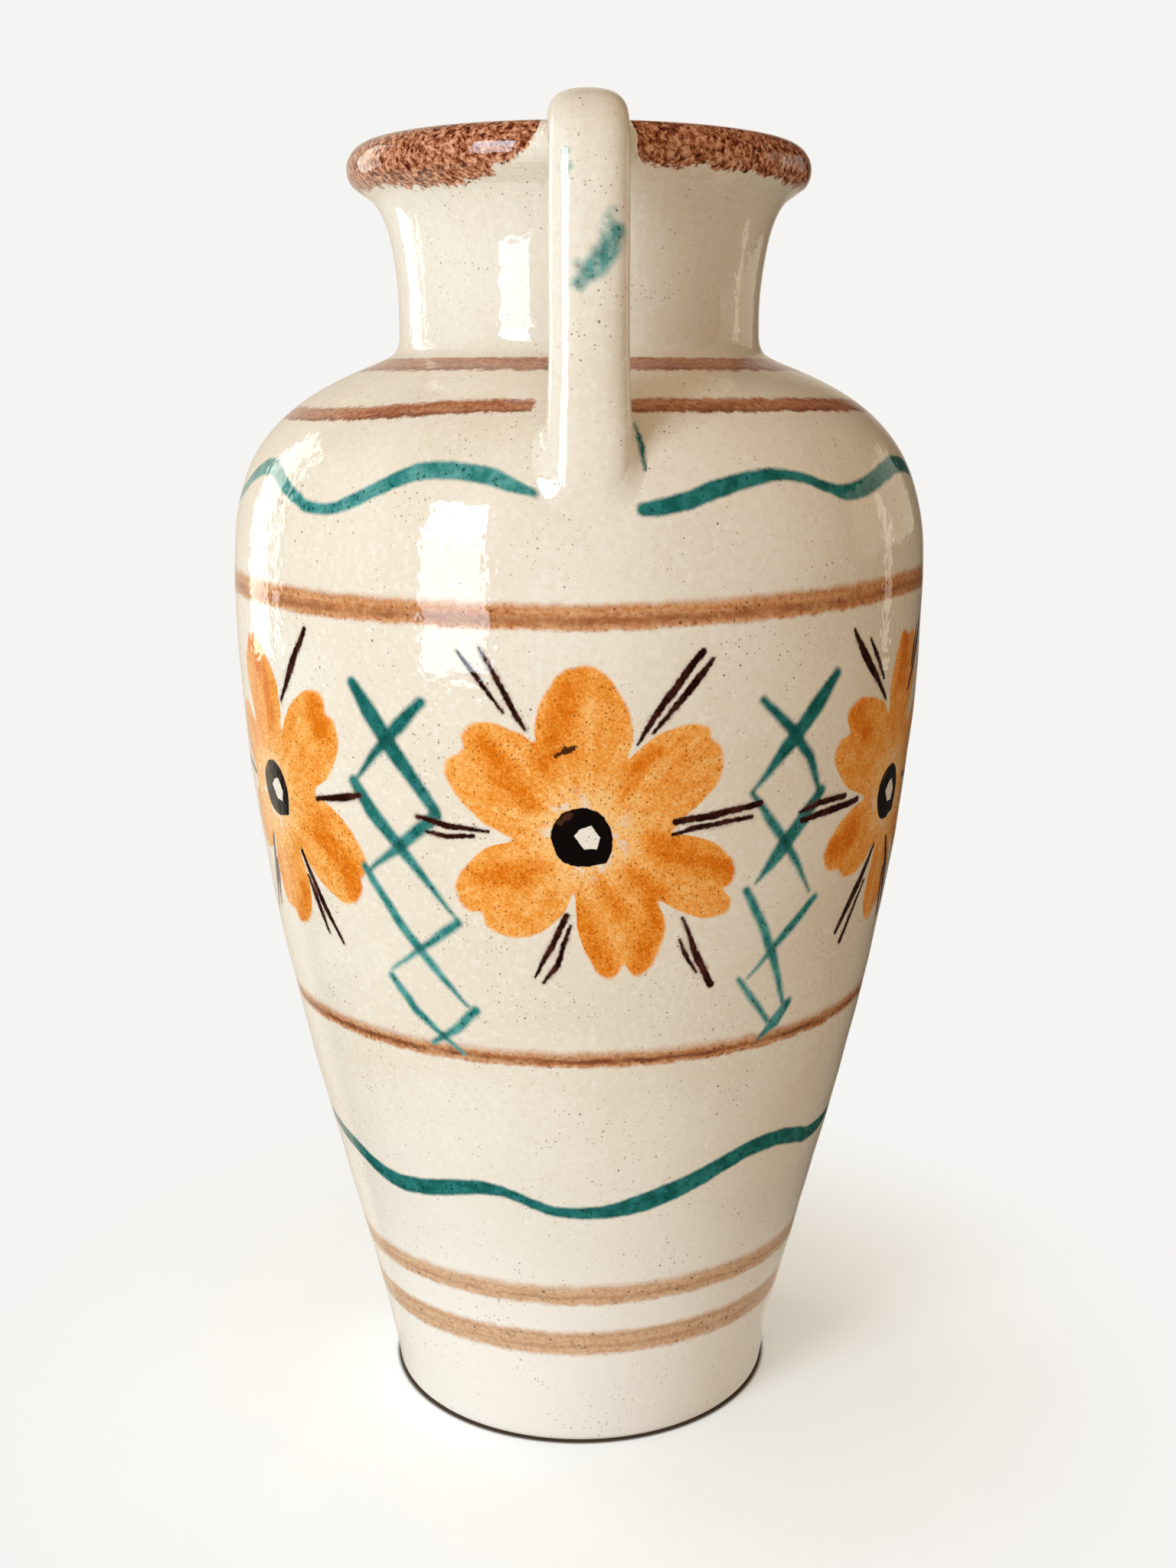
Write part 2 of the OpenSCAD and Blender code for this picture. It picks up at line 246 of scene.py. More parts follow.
def turn(profile, wander=None):
    """Rings of points round the vase's axis, each ring a point of the profile."""
    r, z = profile[:, :1], profile[:, 1:]
    height = np.repeat(z, COLUMNS, 1)
    radius = np.repeat(r, COLUMNS, 1)
    if wander:
        radius = radius + wander(column_angle[None], height)
    return np.stack([radius * np.sin(column_angle), -radius * np.cos(column_angle), height], -1)


def throwing_marks(angle, z):
    """The outside's gentle unevenness, in millimetres. It dies out at the foot and by the handles."""
    oval = OVAL * np.cos(2 * angle + 0.8) + LOBES * np.cos(3 * angle + z / 37)
    ridges = RIDGES * np.sin(z / 5.5 + angle) + FINE_RIDGES * np.sin(z / 2.3 - 2 * angle)
    dents = DENTS * np.sin(5 * angle + z / 11) * np.sin(z / 17 - 3 * angle)
    near_handle = np.exp(-(np.sin(angle) / 0.2) ** 2) / (1 + np.exp(-(z - EVEN_BY_HANDLES_Z) / 3))
    return (oval + ridges + dents) * np.clip((z - 2) / 10, 0, 1) * (1 - near_handle)


def finger_marks(angle, z):
    """The inside's throwing spiral, in millimetres."""
    rising = np.clip((z - floor_z - 4) / 20, 0, 1)
    return SPIRAL * np.sin(z / 1.5 + angle) * rising * np.clip((rim_z - z) / 12, 0, 1)


def grid_normals(rings):
    """Outward direction at each point of rings that close on themselves."""
    across = np.roll(rings, -1, 1) - np.roll(rings, 1, 1)
    along = np.empty_like(rings)
    along[1:-1] = rings[2:] - rings[:-2]
    along[0] = rings[1] - rings[0]
    along[-1] = rings[-1] - rings[-2]
    normals = np.cross(across, along)
    return normals / np.maximum(np.linalg.norm(normals, axis=-1, keepdims=True), 1e-9)


class Run:
    """A smooth stretch of rings, with sharp edges where it meets the next one.

    The slot is the number of its material, for all its rows or for each of them. Its first or its
    last ring may be a single point."""

    def __init__(self, rings, slot=0, normals=None, first_is_point=False, last_is_point=False):
        self.rings = rings
        self.slots = np.broadcast_to(slot, len(rings) - 1)
        self.normals = grid_normals(rings) if normals is None else normals
        self.first_is_point = first_is_point
        self.last_is_point = last_is_point


def add_object(name, data):
    made = bpy.data.objects.new(name, data)
    bpy.context.scene.collection.objects.link(made)
    return made


def make_piece(name, runs, materials, closed):
    """A mesh object from runs that follow one another. Closed runs end where they started."""
    points, faces, slots, normals = [], [], [], []
    sides = runs[0].rings.shape[1]
    count = 0
    first_row = last_row = None
    for number, run in enumerate(runs):
        # Numbers of the points in each ring. A ring that two runs share is made once.
        rows = []
        for i, ring in enumerate(run.rings):
            is_last = i == len(run.rings) - 1
            if i == 0 and number > 0:
                rows.append(last_row)
                continue
            if closed and number == len(runs) - 1 and is_last:
                rows.append(first_row)
                continue
            single = (i == 0 and run.first_is_point) or (is_last and run.last_is_point)
            kept = ring[:1] if single else ring
            points.append(kept)
            rows.append(np.full(sides, count) if single else np.arange(count, count + sides))
            count += len(kept)
        # Four-sided faces between the rings, and triangles at a single point
        for i in range(len(rows) - 1):
            corners = [rows[i], np.roll(rows[i], -1), np.roll(rows[i + 1], -1), rows[i + 1]]
            low, high = run.normals[i], run.normals[i + 1]
            shades = [low, np.roll(low, -1, 0), np.roll(high, -1, 0), high]
            use = [0, 1, 2, 3]
            if i == 0 and run.first_is_point:
                use = [0, 2, 3]
            if i == len(rows) - 2 and run.last_is_point:
                use = [0, 1, 2]
            faces += np.stack([corners[k] for k in use], 1).tolist()
            normals.append(np.stack([shades[k] for k in use], 1).reshape(-1, 3))
            slots += [int(run.slots[i])] * sides
        if first_row is None:
            first_row = rows[0]
        last_row = rows[-1]
    mesh = bpy.data.meshes.new(name)
    mesh.from_pydata((np.concatenate(points) * MM).tolist(), [], faces)
    for material in materials:
        mesh.materials.append(material)
    mesh.polygons.foreach_set("material_index", slots)
    mesh.polygons.foreach_set("use_smooth", [True] * len(faces))
    mesh.normals_split_custom_set(np.concatenate(normals).tolist())
    mesh.update()
    return add_object(name, mesh)


def stand_for(piece, node):
    """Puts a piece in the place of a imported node."""
    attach(piece, "root")
    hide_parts(node)


# Materials

class Shader:
    """The nodes of a material or of the world. An input is a socket, a number or a tuple."""

    def __init__(self, owner):
        owner.use_nodes = True
        self.owner = owner
        self.tree = owner.node_tree
        self.tree.nodes.clear()

    def node(self, kind, inputs, **settings):
        made = self.tree.nodes.new("ShaderNode" + kind)
        for key, value in settings.items():
            setattr(made, key, value)
        for key, value in inputs.items():
            socket = made.inputs[key]
            if isinstance(value, bpy.types.NodeSocket):
                self.tree.links.new(value, socket)
            elif isinstance(value, tuple) and socket.type == "RGBA":
                socket.default_value = value + (1.0,)
            else:
                socket.default_value = value
        return made

    def math(self, operation, *inputs, clamp=False):
        made = self.node("Math", dict(enumerate(inputs)), operation=operation, use_clamp=clamp)
        return made.outputs[0]

    def fold(self, operation, values):
        """One number from many. Each is taken in as soon as it is made, so that few wait at once."""
        total = None
        for value in values:
            total = value if total is None else self.math(operation, total, value)
        return total

    def times(self, *factors):
        return self.fold("MULTIPLY", factors)

    def plus(self, *terms):
        return self.fold("ADD", terms)

    def minus(self, value, taken):
        return self.math("SUBTRACT", value, taken)

    def vector(self, operation, *inputs):
        made = self.node("VectorMath", dict(enumerate(inputs)), operation=operation)
        gives_number = operation in ("DOT_PRODUCT", "DISTANCE", "LENGTH")
        return made.outputs["Value" if gives_number else "Vector"]

    def scaled(self, vector, factor):
        return self.node("VectorMath", {"Vector": vector, "Scale": factor}, operation="SCALE").outputs[0]

    def combine(self, x, y, z=0.0):
        return self.node("CombineXYZ", {0: x, 1: y, 2: z}).outputs[0]

    def split(self, vector):
        return self.node("SeparateXYZ", {0: vector}).outputs

    def fade(self, value, start, end, low=0.0, high=1.0):
        """Smooth step from low, where value is start, to high, where it is end."""
        inputs = {"Value": value, "From Min": start, "From Max": end, "To Min": low, "To Max": high}
        return self.node("MapRange", inputs, interpolation_type="SMOOTHSTEP").outputs[0]

    def noise(self, vector, scale, detail=2.0, roughness=0.5, distortion=0.0, out="Fac"):
        inputs = {
            "Vector": vector, "Scale": scale, "Detail": detail,
            "Roughness": roughness, "Distortion": distortion,
        }
        return self.node("TexNoise", inputs).outputs[out]

    def mix(self, share, under, over, blend="MIX"):
        inputs = {0: share, 6: under, 7: over}
        return self.node("Mix", inputs, data_type="RGBA", blend_type=blend).outputs[2]

    def ramp(self, value, stops):
        made = self.node("ValToRGB", {0: value})
        elements = made.color_ramp.elements
        while len(elements) < len(stops):
            elements.new(0.5)
        for element, (place, colour) in zip(elements, stops):
            element.position = place
            element.color = colour + (1.0,)
        return made.outputs[0]

    def curve(self, value, points, first, last, low, high, handles="AUTO"):
        """Height of a line through (place, height) points, read at a place between first and last."""
        share = self.math("MULTIPLY_ADD", value, 1 / (last - first), -first / (last - first))
        made = self.node("FloatCurve", {"Value": share})
        line_points = made.mapping.curves[0].points
        while len(line_points) < len(points):
            line_points.new(0.5, 0.5)
        for spot, (place, height) in zip(line_points, points):
            spot.location = ((place - first) / (last - first), (height - low) / (high - low))
            spot.handle_type = handles
        made.mapping.update()
        return self.math("MULTIPLY_ADD", made.outputs[0], high - low, low)


# The painting repeats after half a turn. The two copies join where no stroke crosses.
SEAM_FROM = -82.0
SEAM_TO = 98.0
# Millimetres of painted surface for each degree round the body
PER_DEGREE = 1.35

CREAM = (0.81, 0.728, 0.605)
CREAM_WARM = (0.755, 0.655, 0.515)
CREAM_PALE = (0.85, 0.785, 0.68)
# Painted light: cream lightened as if by bounce light from the floor, used towards the foot
PAINTED_BOUNCE_CREAM = (0.895, 0.84, 0.76)
# What the iron specks let through of the glaze's colour
SPECK = (0.14, 0.085, 0.065)
SPECK_FAINT = (0.45, 0.34, 0.27)
ORANGE_PALEST = (0.90, 0.52, 0.185)
ORANGE_PALE = (0.86, 0.36, 0.075)
ORANGE = (0.79, 0.265, 0.03)
ORANGE_DEEP = (0.67, 0.15, 0.004)
ORANGE_GRAIN = (0.38, 0.10, 0.01)
TEAL_THIN = (0.11, 0.345, 0.315)
TEAL_LATTICE = (0.10, 0.34, 0.31)
TEAL_FULL = (0.02, 0.165, 0.15)
TEAL = (0.026, 0.195, 0.175)
TEAL_DEEP = (0.006, 0.095, 0.082)
TEAL_DARK = (0.002, 0.04, 0.033)
MAROON = (0.16, 0.045, 0.03)
BROWN_BLACK = (0.016, 0.002, 0.0006)
BLACK = (0.004, 0.002, 0.002)
RING_BROWN = (0.09, 0.03, 0.015)
SMUDGE_BROWN = (0.07, 0.018, 0.005)
CLAY = (0.55, 0.35, 0.22)
CLAY_DARK = (0.42, 0.25, 0.15)
BAND_SPECK = (0.11, 0.035, 0.018)
RIM_SPECK = (0.05, 0.012, 0.006)
# Tones of the brushed bands: thin, full, and where the paint pooled
COLLAR_TONES = ((0.52, 0.235, 0.115), (0.34, 0.104, 0.042), (0.11, 0.022, 0.007))
BELLY_TONES = ((0.64, 0.325, 0.145), (0.51, 0.185, 0.055), (0.20, 0.045, 0.007))
LOWER_TONES = ((0.63, 0.34, 0.165), (0.47, 0.165, 0.052), (0.17, 0.033, 0.005))
FOOT_TONES = ((0.68, 0.435, 0.255), (0.58, 0.32, 0.16), (0.33, 0.135, 0.045))
# The petals' orange by its density, and the rim's brown from the sponge's dark prints to its pale ones
ORANGE_STOPS = [(0.0, ORANGE_PALEST), (0.32, ORANGE_PALE), (0.58, ORANGE), (0.9, ORANGE_DEEP)]
RIM_STOPS = [
    (0.36, (0.06, 0.010, 0.004)), (0.45, (0.27, 0.078, 0.032)),
    (0.53, (0.46, 0.175, 0.085)), (0.63, (0.70, 0.38, 0.225)),
]

# Fineness of the textures, in waves to the millimetre
GROUND_DRIFT = 0.022
GROUND_MOTTLE = 0.75
HAND_SHAKE = 0.2
BRISTLES = 1.1
BRUSH_BODY = 0.28
BAND_MOTTLE = 0.9
BAND_POOLING = 0.13
SPECK_CROWDS = 0.08
GLAZE_RIPPLE = 0.4
GLAZE_SHEEN = 0.15
PETAL_MOTTLE = 2.0
RIM_CURLS = 0.85
HANDLE_SHAKE = 0.4
HANDLE_PATCHES = 0.38
CLAY_GRIT = 0.9
# Round specks: cells to the millimetre, smallest and largest radius
FAINT_SPECKS = (1.0, 0.04, 0.26)
DARK_SPECKS = (0.6, 0.05, 0.28)
TEAL_SPECKS = (0.9, 0.06, 0.42)
BAND_SPECKS = (0.62, 0.06, 0.42)
ORANGE_SPECKS = (1.3, 0.05, 0.27)
RIM_SPECKS = (0.6, 0.1, 0.5)
SPECK_SOFT = 0.06
# Depths of the uneven glaze and of the gritty clay, in metres
RIPPLE_DEPTH = 0.0001
GRIT_DEPTH = 0.0002


class Glaze(Shader):
    """A glazed material: cream ground, whatever is painted on it, specks and gloss over all."""

    def __init__(self, name):
        super().__init__(bpy.data.materials.new(name))
        coordinates = self.node("TexCoord", {}).outputs["Object"]
        self.place = self.vector("MULTIPLY", coordinates, (1 / MM,) * 3)
        self.x, self.y, self.z = self.split(self.place)
        drift = self.texture(GROUND_DRIFT, 3.0)
        ground = self.mix(self.fade(drift, 0.35, 0.65), CREAM_WARM, CREAM)
        mottle = self.texture(GROUND_MOTTLE, 3.0, 0.6)
        ground = self.mix(self.fade(mottle, 0.48, 0.75, 0.0, 0.7), ground, CREAM_PALE)
        self.colour = self.mix(self.fade(mottle, 0.5, 0.27, 0.0, 0.8), ground, CREAM_WARM)

    def texture(self, waves, *settings, **more):
        """Noise in the glaze, of so many waves to the millimetre."""
        return self.noise(self.place, waves, *settings, **more)

    def paint_plane(self):
        """The painter's flat coordinates, a little unsteady, and the angle round the vase."""
        away = self.times(self.y, -1.0)
        angle = self.math("DEGREES", self.math("ARCTAN2", self.x, away))
        self.angle = self.math("WRAP", angle, SEAM_TO, SEAM_FROM)
        self.flat = self.unsteady(self.times(self.angle, PER_DEGREE), HAND_SHAKE, 0.7)
        self.bristle = self.minus(self.texture(BRISTLES), 0.5)
        self.body_noise = self.texture(BRUSH_BODY, 3.0, 0.6)

    def unsteady(self, across, waves, shake):
        """Flat coordinates, across and up, off by up to half of shake either way."""
        flat = self.combine(across, self.z)
        shaky = self.vector("SUBTRACT", self.texture(waves, out="Color"), (0.5, 0.5, 0.5))
        return self.vector("MULTIPLY_ADD", shaky, (shake, shake, 0.0), flat)

    def line_round(self, points, within, handles="AUTO"):
        """Height at this angle of a line of (angle, height) points, all of them within a range."""
        return self.curve(self.angle, points, SEAM_FROM, SEAM_TO, *within, handles)

    def specks(self, scale, smallest, largest, crowd=1.0):
        """1 in round dots scattered at random, of radii from smallest to largest millimetres."""
        made = self.node("TexVoronoi", {"Vector": self.place, "Scale": scale})
        size = self.node("SeparateColor", {0: made.outputs["Color"]}).outputs[0]
        size = self.times(size, size)
        size = self.math("MULTIPLY_ADD", size, (largest - smallest) * scale, smallest * scale)
        gap = self.minus(made.outputs["Distance"], self.times(size, crowd))
        return self.fade(gap, SPECK_SOFT * scale, -SPECK_SOFT * scale)

    def length_gap(self, start, end):
        """Distance outside one length of a stroke, between two of its points."""
        (a0, z0, half0), (a1, z1, half1) = start, end
        first = np.array([a0 * PER_DEGREE, z0])
        step = np.array([a1 * PER_DEGREE, z1]) - first
        share = step / float(step @ step)
        along = self.vector("DOT_PRODUCT", self.flat, (share[0], share[1], 0.0))
        along = self.math("ADD", along, -float(first @ share), clamp=True)
        back = self.scaled((-step[0], -step[1], 0.0), along)
        foot = self.vector("ADD", back, self.flat)
        apart = self.vector("DISTANCE", foot, (first[0], first[1], 0.0))
        apart = self.math("MULTIPLY_ADD", along, half0 - half1, apart)
        return self.plus(apart, -half0)

    def gap_to(self, strokes):
        """Distance in millimetres outside brush strokes, each a list of (angle, height, half width)."""
        lengths = (ends for stroke in strokes for ends in zip(stroke, stroke[1:]))
        return self.fold("MINIMUM", (self.length_gap(*ends) for ends in lengths))

    def from_centre(self, centre):
        """The painter's coordinates from a flower's centre."""
        return self.vector("SUBTRACT", self.flat, (centre[0] * PER_DEGREE, centre[1], 0.0))

    def outline_gap(self, centre, outline):
        """Distance outside an outline of (bearing, reach) points round a centre."""
        offset = self.from_centre(centre)
        x, y, _ = self.split(offset)
        bearing = self.math("DEGREES", self.math("ARCTAN2", y, x))
        points = closed_outline(outline)
        edge = self.curve(bearing, points, -180.0, 180.0, 0.0, FARTHEST_REACH, "AUTO_CLAMPED")
        return self.minus(self.vector("LENGTH", offset), edge)

    def side_gap(self, offset, start, end):
        """Distance outside the straight line from one corner to the next."""
        (x0, y0), (x1, y1) = start, end
        length = math.hypot(x1 - x0, y1 - y0)
        outward = ((y0 - y1) / length, (x1 - x0) / length, 0.0)
        gap = self.vector("DOT_PRODUCT", offset, outward)
        return self.minus(gap, outward[0] * x0 + outward[1] * y0)

    def polygon_gap(self, centre, corners):
        """Distance outside a shape with straight sides, its corners listed clockwise."""
        offset = self.from_centre(centre)
        sides = zip(corners, corners[1:] + corners[:1])
        return self.fold("MAXIMUM", (self.side_gap(offset, *side) for side in sides))

    def rough_edge(self, gap, wobble, soft):
        """1 inside an edge and 0 outside, with a bristly border."""
        gap = self.math("MULTIPLY_ADD", self.bristle, wobble, gap)
        return self.fade(gap, soft, -soft)

    def paint(self, share, tone):
        self.colour = self.mix(share, self.colour, tone)

    def teal(self, gap, thin, deep, soft=0.5, opacity=1.0, core=0.0):
        """Watery teal: patchy, deeper in its core and in specks. Gives its share of the surface."""
        depth = self.fade(self.body_noise, 0.32, 0.68)
        if core:
            depth = self.math("MULTIPLY_ADD", self.fade(gap, -0.1, -1.2), core, depth, clamp=True)
        tone = self.mix(depth, thin, deep)
        tone = self.mix(self.fade(self.bristle, 0.02, 0.24, 0.0, 0.55), tone, TEAL_DARK)
        tone = self.mix(self.times(self.specks(*TEAL_SPECKS), 0.75), tone, TEAL_DARK)
        share = self.times(self.rough_edge(gap, 0.5, soft), opacity)
        self.paint(share, tone)
        return share

    def band(self, middle, below, above, tones, pools, soft_below, soft_above, opacity=0.98, free=None):
        """A brushed, grainy band, with lines of pooled paint as (height, half width, strength).

        The band reaches so far below and above its middle. It stops where free, the distance into
        a gap that it leaves, is above 0."""
        shift = self.fade(self.body_noise, 0.25, 0.75, -0.3, 0.3)
        off = self.minus(self.plus(self.z, shift), middle)
        ragged = self.math("MULTIPLY_ADD", self.bristle, 0.8, off)
        share = self.fade(ragged, -below - soft_below, -below + soft_below, 0.0, opacity)
        share = self.times(share, self.fade(ragged, above + soft_above, above - soft_above))
        if free:
            rounded = self.math("MULTIPLY_ADD", self.times(off, off), 0.5, free)
            free = self.math("MULTIPLY_ADD", self.bristle, 3.0, rounded)
            share = self.times(share, self.fade(free, 0.7, -0.7))
        along = self.times(self.angle, 0.06)
        streaks = self.noise(self.combine(along, self.times(off, 0.8)), 1.0, 3.0, 0.6)
        thin, full, pooled = tones
        mottled = self.math("MULTIPLY_ADD", self.texture(BAND_MOTTLE, 3.0, 0.65), 1.2, streaks)
        tone = self.mix(self.fade(mottled, 0.9, 1.32), thin, full)
        for height, half, strength in pools:
            away = self.math("ABSOLUTE", self.minus(ragged, height))
            mark = self.fade(away, half, 0.0, 0.0, strength)
            broken = self.fade(self.texture(BAND_POOLING, 3.0), 0.3, 0.6, 0.35, 1.0)
            tone = self.mix(self.times(mark, broken), tone, pooled)
        tone = self.mix(self.fade(self.bristle, 0.02, 0.25, 0.0, 0.6), tone, pooled)
        tone = self.mix(self.times(self.specks(*BAND_SPECKS), 0.8), tone, BAND_SPECK)
        self.paint(share, tone)

    def belly_band(self):
        """The band over the belly's seam, which two materials share."""
        self.band(self.line_round(BELLY_LINE, BELLY_WITHIN), **BELLY_BAND)

    def finish(self):
        """Iron specks in the glaze, its sheen and its uneven surface."""
        crowd = self.fade(self.texture(SPECK_CROWDS), 0.35, 0.65, 0.35, 1.0)
        faint = self.times(self.specks(*FAINT_SPECKS, crowd), 0.7)
        colour = self.mix(faint, self.colour, SPECK_FAINT, "MULTIPLY")
        dark = self.times(self.specks(*DARK_SPECKS, crowd), 0.75)
        colour = self.mix(dark, colour, SPECK, "MULTIPLY")
        ripple = self.texture(GLAZE_RIPPLE, 1.5, 0.45)
        bump = self.node("Bump", {"Height": ripple, "Strength": 1.0, "Distance": RIPPLE_DEPTH})
        sheen = self.fade(self.texture(GLAZE_SHEEN, 3.0), 0.3, 0.75, 0.03, 0.06)
        surface = self.node("BsdfPrincipled", {
            "Base Color": colour, "Roughness": sheen, "IOR": 1.5, "Normal": bump.outputs[0],
        })
        self.node("OutputMaterial", {"Surface": surface.outputs[0]})
        return self.owner


# The painting. Outlines are (bearing, reach) points round a flower's centre, none of them farther out
# than the farthest reach, and strokes are (angle, height, half width) points.

FARTHEST_REACH = 40.0
FRONT_CENTRE = (-1.2, 155.4)
FRONT_OUTLINE = [
    (-177, 14), (-173, 18), (-168, 22.3), (-162, 25.9), (-158, 28.3), (-153, 29.5), (-148, 29.8),
    (-144, 29), (-141, 27.2), (-138, 27.9), (-135, 28.4), (-129, 27.8), (-121, 25.9), (-114, 23.2),
    (-107, 19.3), (-102, 16.3), (-97, 12.3), (-95, 15), (-93, 19), (-90, 23), (-86, 27.6), (-82, 31),
    (-79, 31.8), (-75, 30.9), (-72.5, 29.6), (-70.5, 32.2), (-68, 33.3), (-64, 33), (-59, 31.4),
    (-54, 29.3), (-49, 27.1), (-44.5, 23.9), (-42, 21.5), (-40, 25.3), (-38, 28.6), (-36, 32.2),
    (-32, 35.2), (-29, 36.4), (-26, 35.8), (-24.5, 34.8), (-23, 32.8), (-21, 33.9), (-18, 34.1),
    (-14, 33.3), (-9, 30.5), (-5, 27), (-2, 23.4), (0, 20), (2, 18.4), (5, 19.5), (11, 22), (16, 25.6),
    (19, 28.3), (23, 30.5), (28, 32.1), (33, 32.7), (38, 32.3), (41, 33.3), (44, 32.5), (48, 30.5),
    (52, 27.9), (56, 24.4), (59, 20.7), (61, 18.6), (63, 21.4), (67, 24.7), (73, 28.6), (79, 31.8),
    (84, 34.3), (89, 35.1), (93, 34.7), (97, 33.7), (101, 31.6), (106, 28.9), (110, 25.8), (113, 23.4),
    (115, 21.8), (118, 23.8), (122, 26.2), (126, 28.7), (131, 30.8), (135, 31.5), (139, 31.3),
    (143, 29.4), (148, 30.2), (152, 30.9), (155, 30.3), (159, 28.6), (164, 25.5), (169, 22.2),
    (174, 19.2), (178, 16.3),
]
LEFT_CENTRE = (-60.2, 157.4)
LEFT_OUTLINE = [
    (-174, 14), (-166, 18), (-157, 21), (-148, 23), (-136, 23), (-127, 21), (-121, 18), (-116, 14),
    (-112, 20), (-108, 24.3), (-103, 27.3), (-97, 28.7), (-91, 28.3), (-89, 30.8), (-83, 31),
    (-77, 29.8), (-70, 26.9), (-66, 23.8), (-62, 20.4), (-56, 15.3), (-53, 20.1), (-51, 24.3),
    (-48, 27.9), (-45, 31), (-41, 33.1), (-36, 34.1), (-31, 34.1), (-28, 33), (-23, 33.7), (-18, 32.6),
    (-14, 30.7), (-9, 27.8), (-3, 24.1), (2, 20.3), (5, 17.7), (14, 22.4), (20, 26), (26, 29.2),
    (32, 31.1), (36, 31.7), (40, 30.8), (44, 32.2), (47, 32.6), (51, 31.5), (55, 29.1), (59, 25),
    (63, 20.9), (66, 15.4), (69, 18.8), (73, 21.9), (76, 24.8), (81, 27.5), (87, 30.1), (94, 32.4),
    (101, 34.2), (107, 32.4), (113, 30.1), (118, 25.9), (123, 16), (128, 20), (134, 24), (142, 25),
    (152, 24), (163, 20), (172, 15),
]
RIGHT_CENTRE = (60.4, 155.5)
RIGHT_OUTLINE = [
    (-179, 16.6), (-174, 21.1), (-168, 24.4), (-162, 27), (-158, 28), (-153, 27.9), (-148, 25.9),
    (-145, 24.4), (-140, 24.3), (-134, 22.7), (-127, 19.9), (-121, 16.5), (-117, 13.1), (-111, 11.9),
    (-108, 13.8), (-105, 18.2), (-102, 23.1), (-98, 27.2), (-92, 30), (-88, 30.8), (-81, 29), (-73, 28),
    (-66, 25), (-60, 20), (-56, 15), (-51, 21), (-44, 25), (-36, 26), (-26, 25), (-16, 21), (-6, 16),
    (2, 13), (8, 16), (18, 22), (28, 26), (36, 27), (44, 26), (52, 22), (58, 17), (64, 27), (70, 33),
    (77, 36.3), (83, 35.2), (88, 36.1), (91, 35.5), (95, 32.4), (100, 28.9), (104, 25), (108, 19.5),
    (110, 22), (117, 25.5), (124, 28.7), (130, 30.9), (136, 31.4), (140, 30.1), (143, 27.5),
    (148, 29.2), (153, 29.1), (159, 26.9), (164, 23.7), (169, 19.4), (177, 13.2),
]
FLOWERS = [(FRONT_CENTRE, FRONT_OUTLINE), (LEFT_CENTRE, LEFT_OUTLINE), (RIGHT_CENTRE, RIGHT_OUTLINE)]
RING_OUTLINE = [
    (-165, 6.15), (-130, 6.5), (-100, 6.4), (-75, 6.4), (-58, 6.8), (-47, 7.4), (-35, 7), (-20, 6.5),
    (5, 6.2), (40, 6), (90, 6.25), (135, 6.15), (170, 6.2),
]
EYE = [(-1.7, 0.4), (-0.1, 1.9), (1.8, 2.5), (3.6, -0.1), (2.9, -2.6), (0.4, -2.5)]
# Where a ring's black is worn, as a stroke measured from the flower's centre
RING_WEAR = [(-3.2, 3.0, 0.5), (-1.9, 4.6, 0.6)]
SMUDGE = [[(-4.8, 172.4, 0.4), (-3.5, 173.5, 0.95), (-2.3, 173.8, 0.45)]]

# The row of flowers, for the streaks: its turn, half the angle from flower to flower, and its height
FLOWER_SHIFT = 0.6
FLOWER_HALF_STEP = 30.7
FLOWER_Z = 155.7
# Fineness of the streaks, round a flower and outwards
SPOKES_ROUND = 7.0
SPOKES_OUT = 0.07
# Distances from a flower's centre between which its petals grow pale, and bare in places
PALE_MIDDLE = (16.0, 7.0)
BARE_MIDDLE = (11.0, 7.0)
# Where the orange lies thickest on the petals
DEEP_ORANGE = [
    [(-5.6, 172.3, 1.5), (-5, 179.2, 2.1), (-2.2, 188.2, 1.9)],
    [(-15.5, 175.1, 1.2), (-12.6, 168.8, 2.1), (-7.6, 162.1, 1.2)],
    [(9.5, 153.7, 1.4), (14.1, 150.9, 2.1), (21.8, 146.5, 1.7)],
    [(5.9, 147.6, 0.9), (10.7, 142.4, 1.2)],
    [(-0.9, 140.4, 0.9), (-0.2, 133.4, 1.9), (2.3, 126.7, 1.5)],
    [(1.5, 146.3, 0.5), (4.3, 139.8, 0.8)],
    [(9.3, 143, 0.9), (10, 135.4, 1.5), (8.2, 126.9, 1.6)],
    [(4.6, 162, 0.5), (5.9, 169, 0.9), (9.4, 172.5, 0.7)],
    [(-16.1, 146.2, 1.5), (-10.8, 146.6, 1.7), (-6.3, 149.2, 1.0)],
    [(-7.9, 175.5, 0.7), (-7, 170.9, 1.1), (-5.1, 169.1, 0.5)],
    [(-47.3, 151.1, 2.3), (-41.1, 143.4, 2.8), (-40.4, 138.2, 2.2)],
    [(-65.4, 188.1, 1.6), (-60.3, 182, 1.8), (-59.1, 173.7, 1.5)],
    [(-46, 179.1, 1.8), (-44, 173, 2.1)],
    [(-55.5, 134.4, 1.4), (-57.2, 128.8, 1.8)],
    [(61.8, 189.6, 1.8), (61, 181.2, 2.4)],
    [(46.4, 176.1, 2.0), (49.5, 171.2, 2.2)],
    [(44.2, 146.6, 2.2), (47.9, 149.5, 2.4)],
]

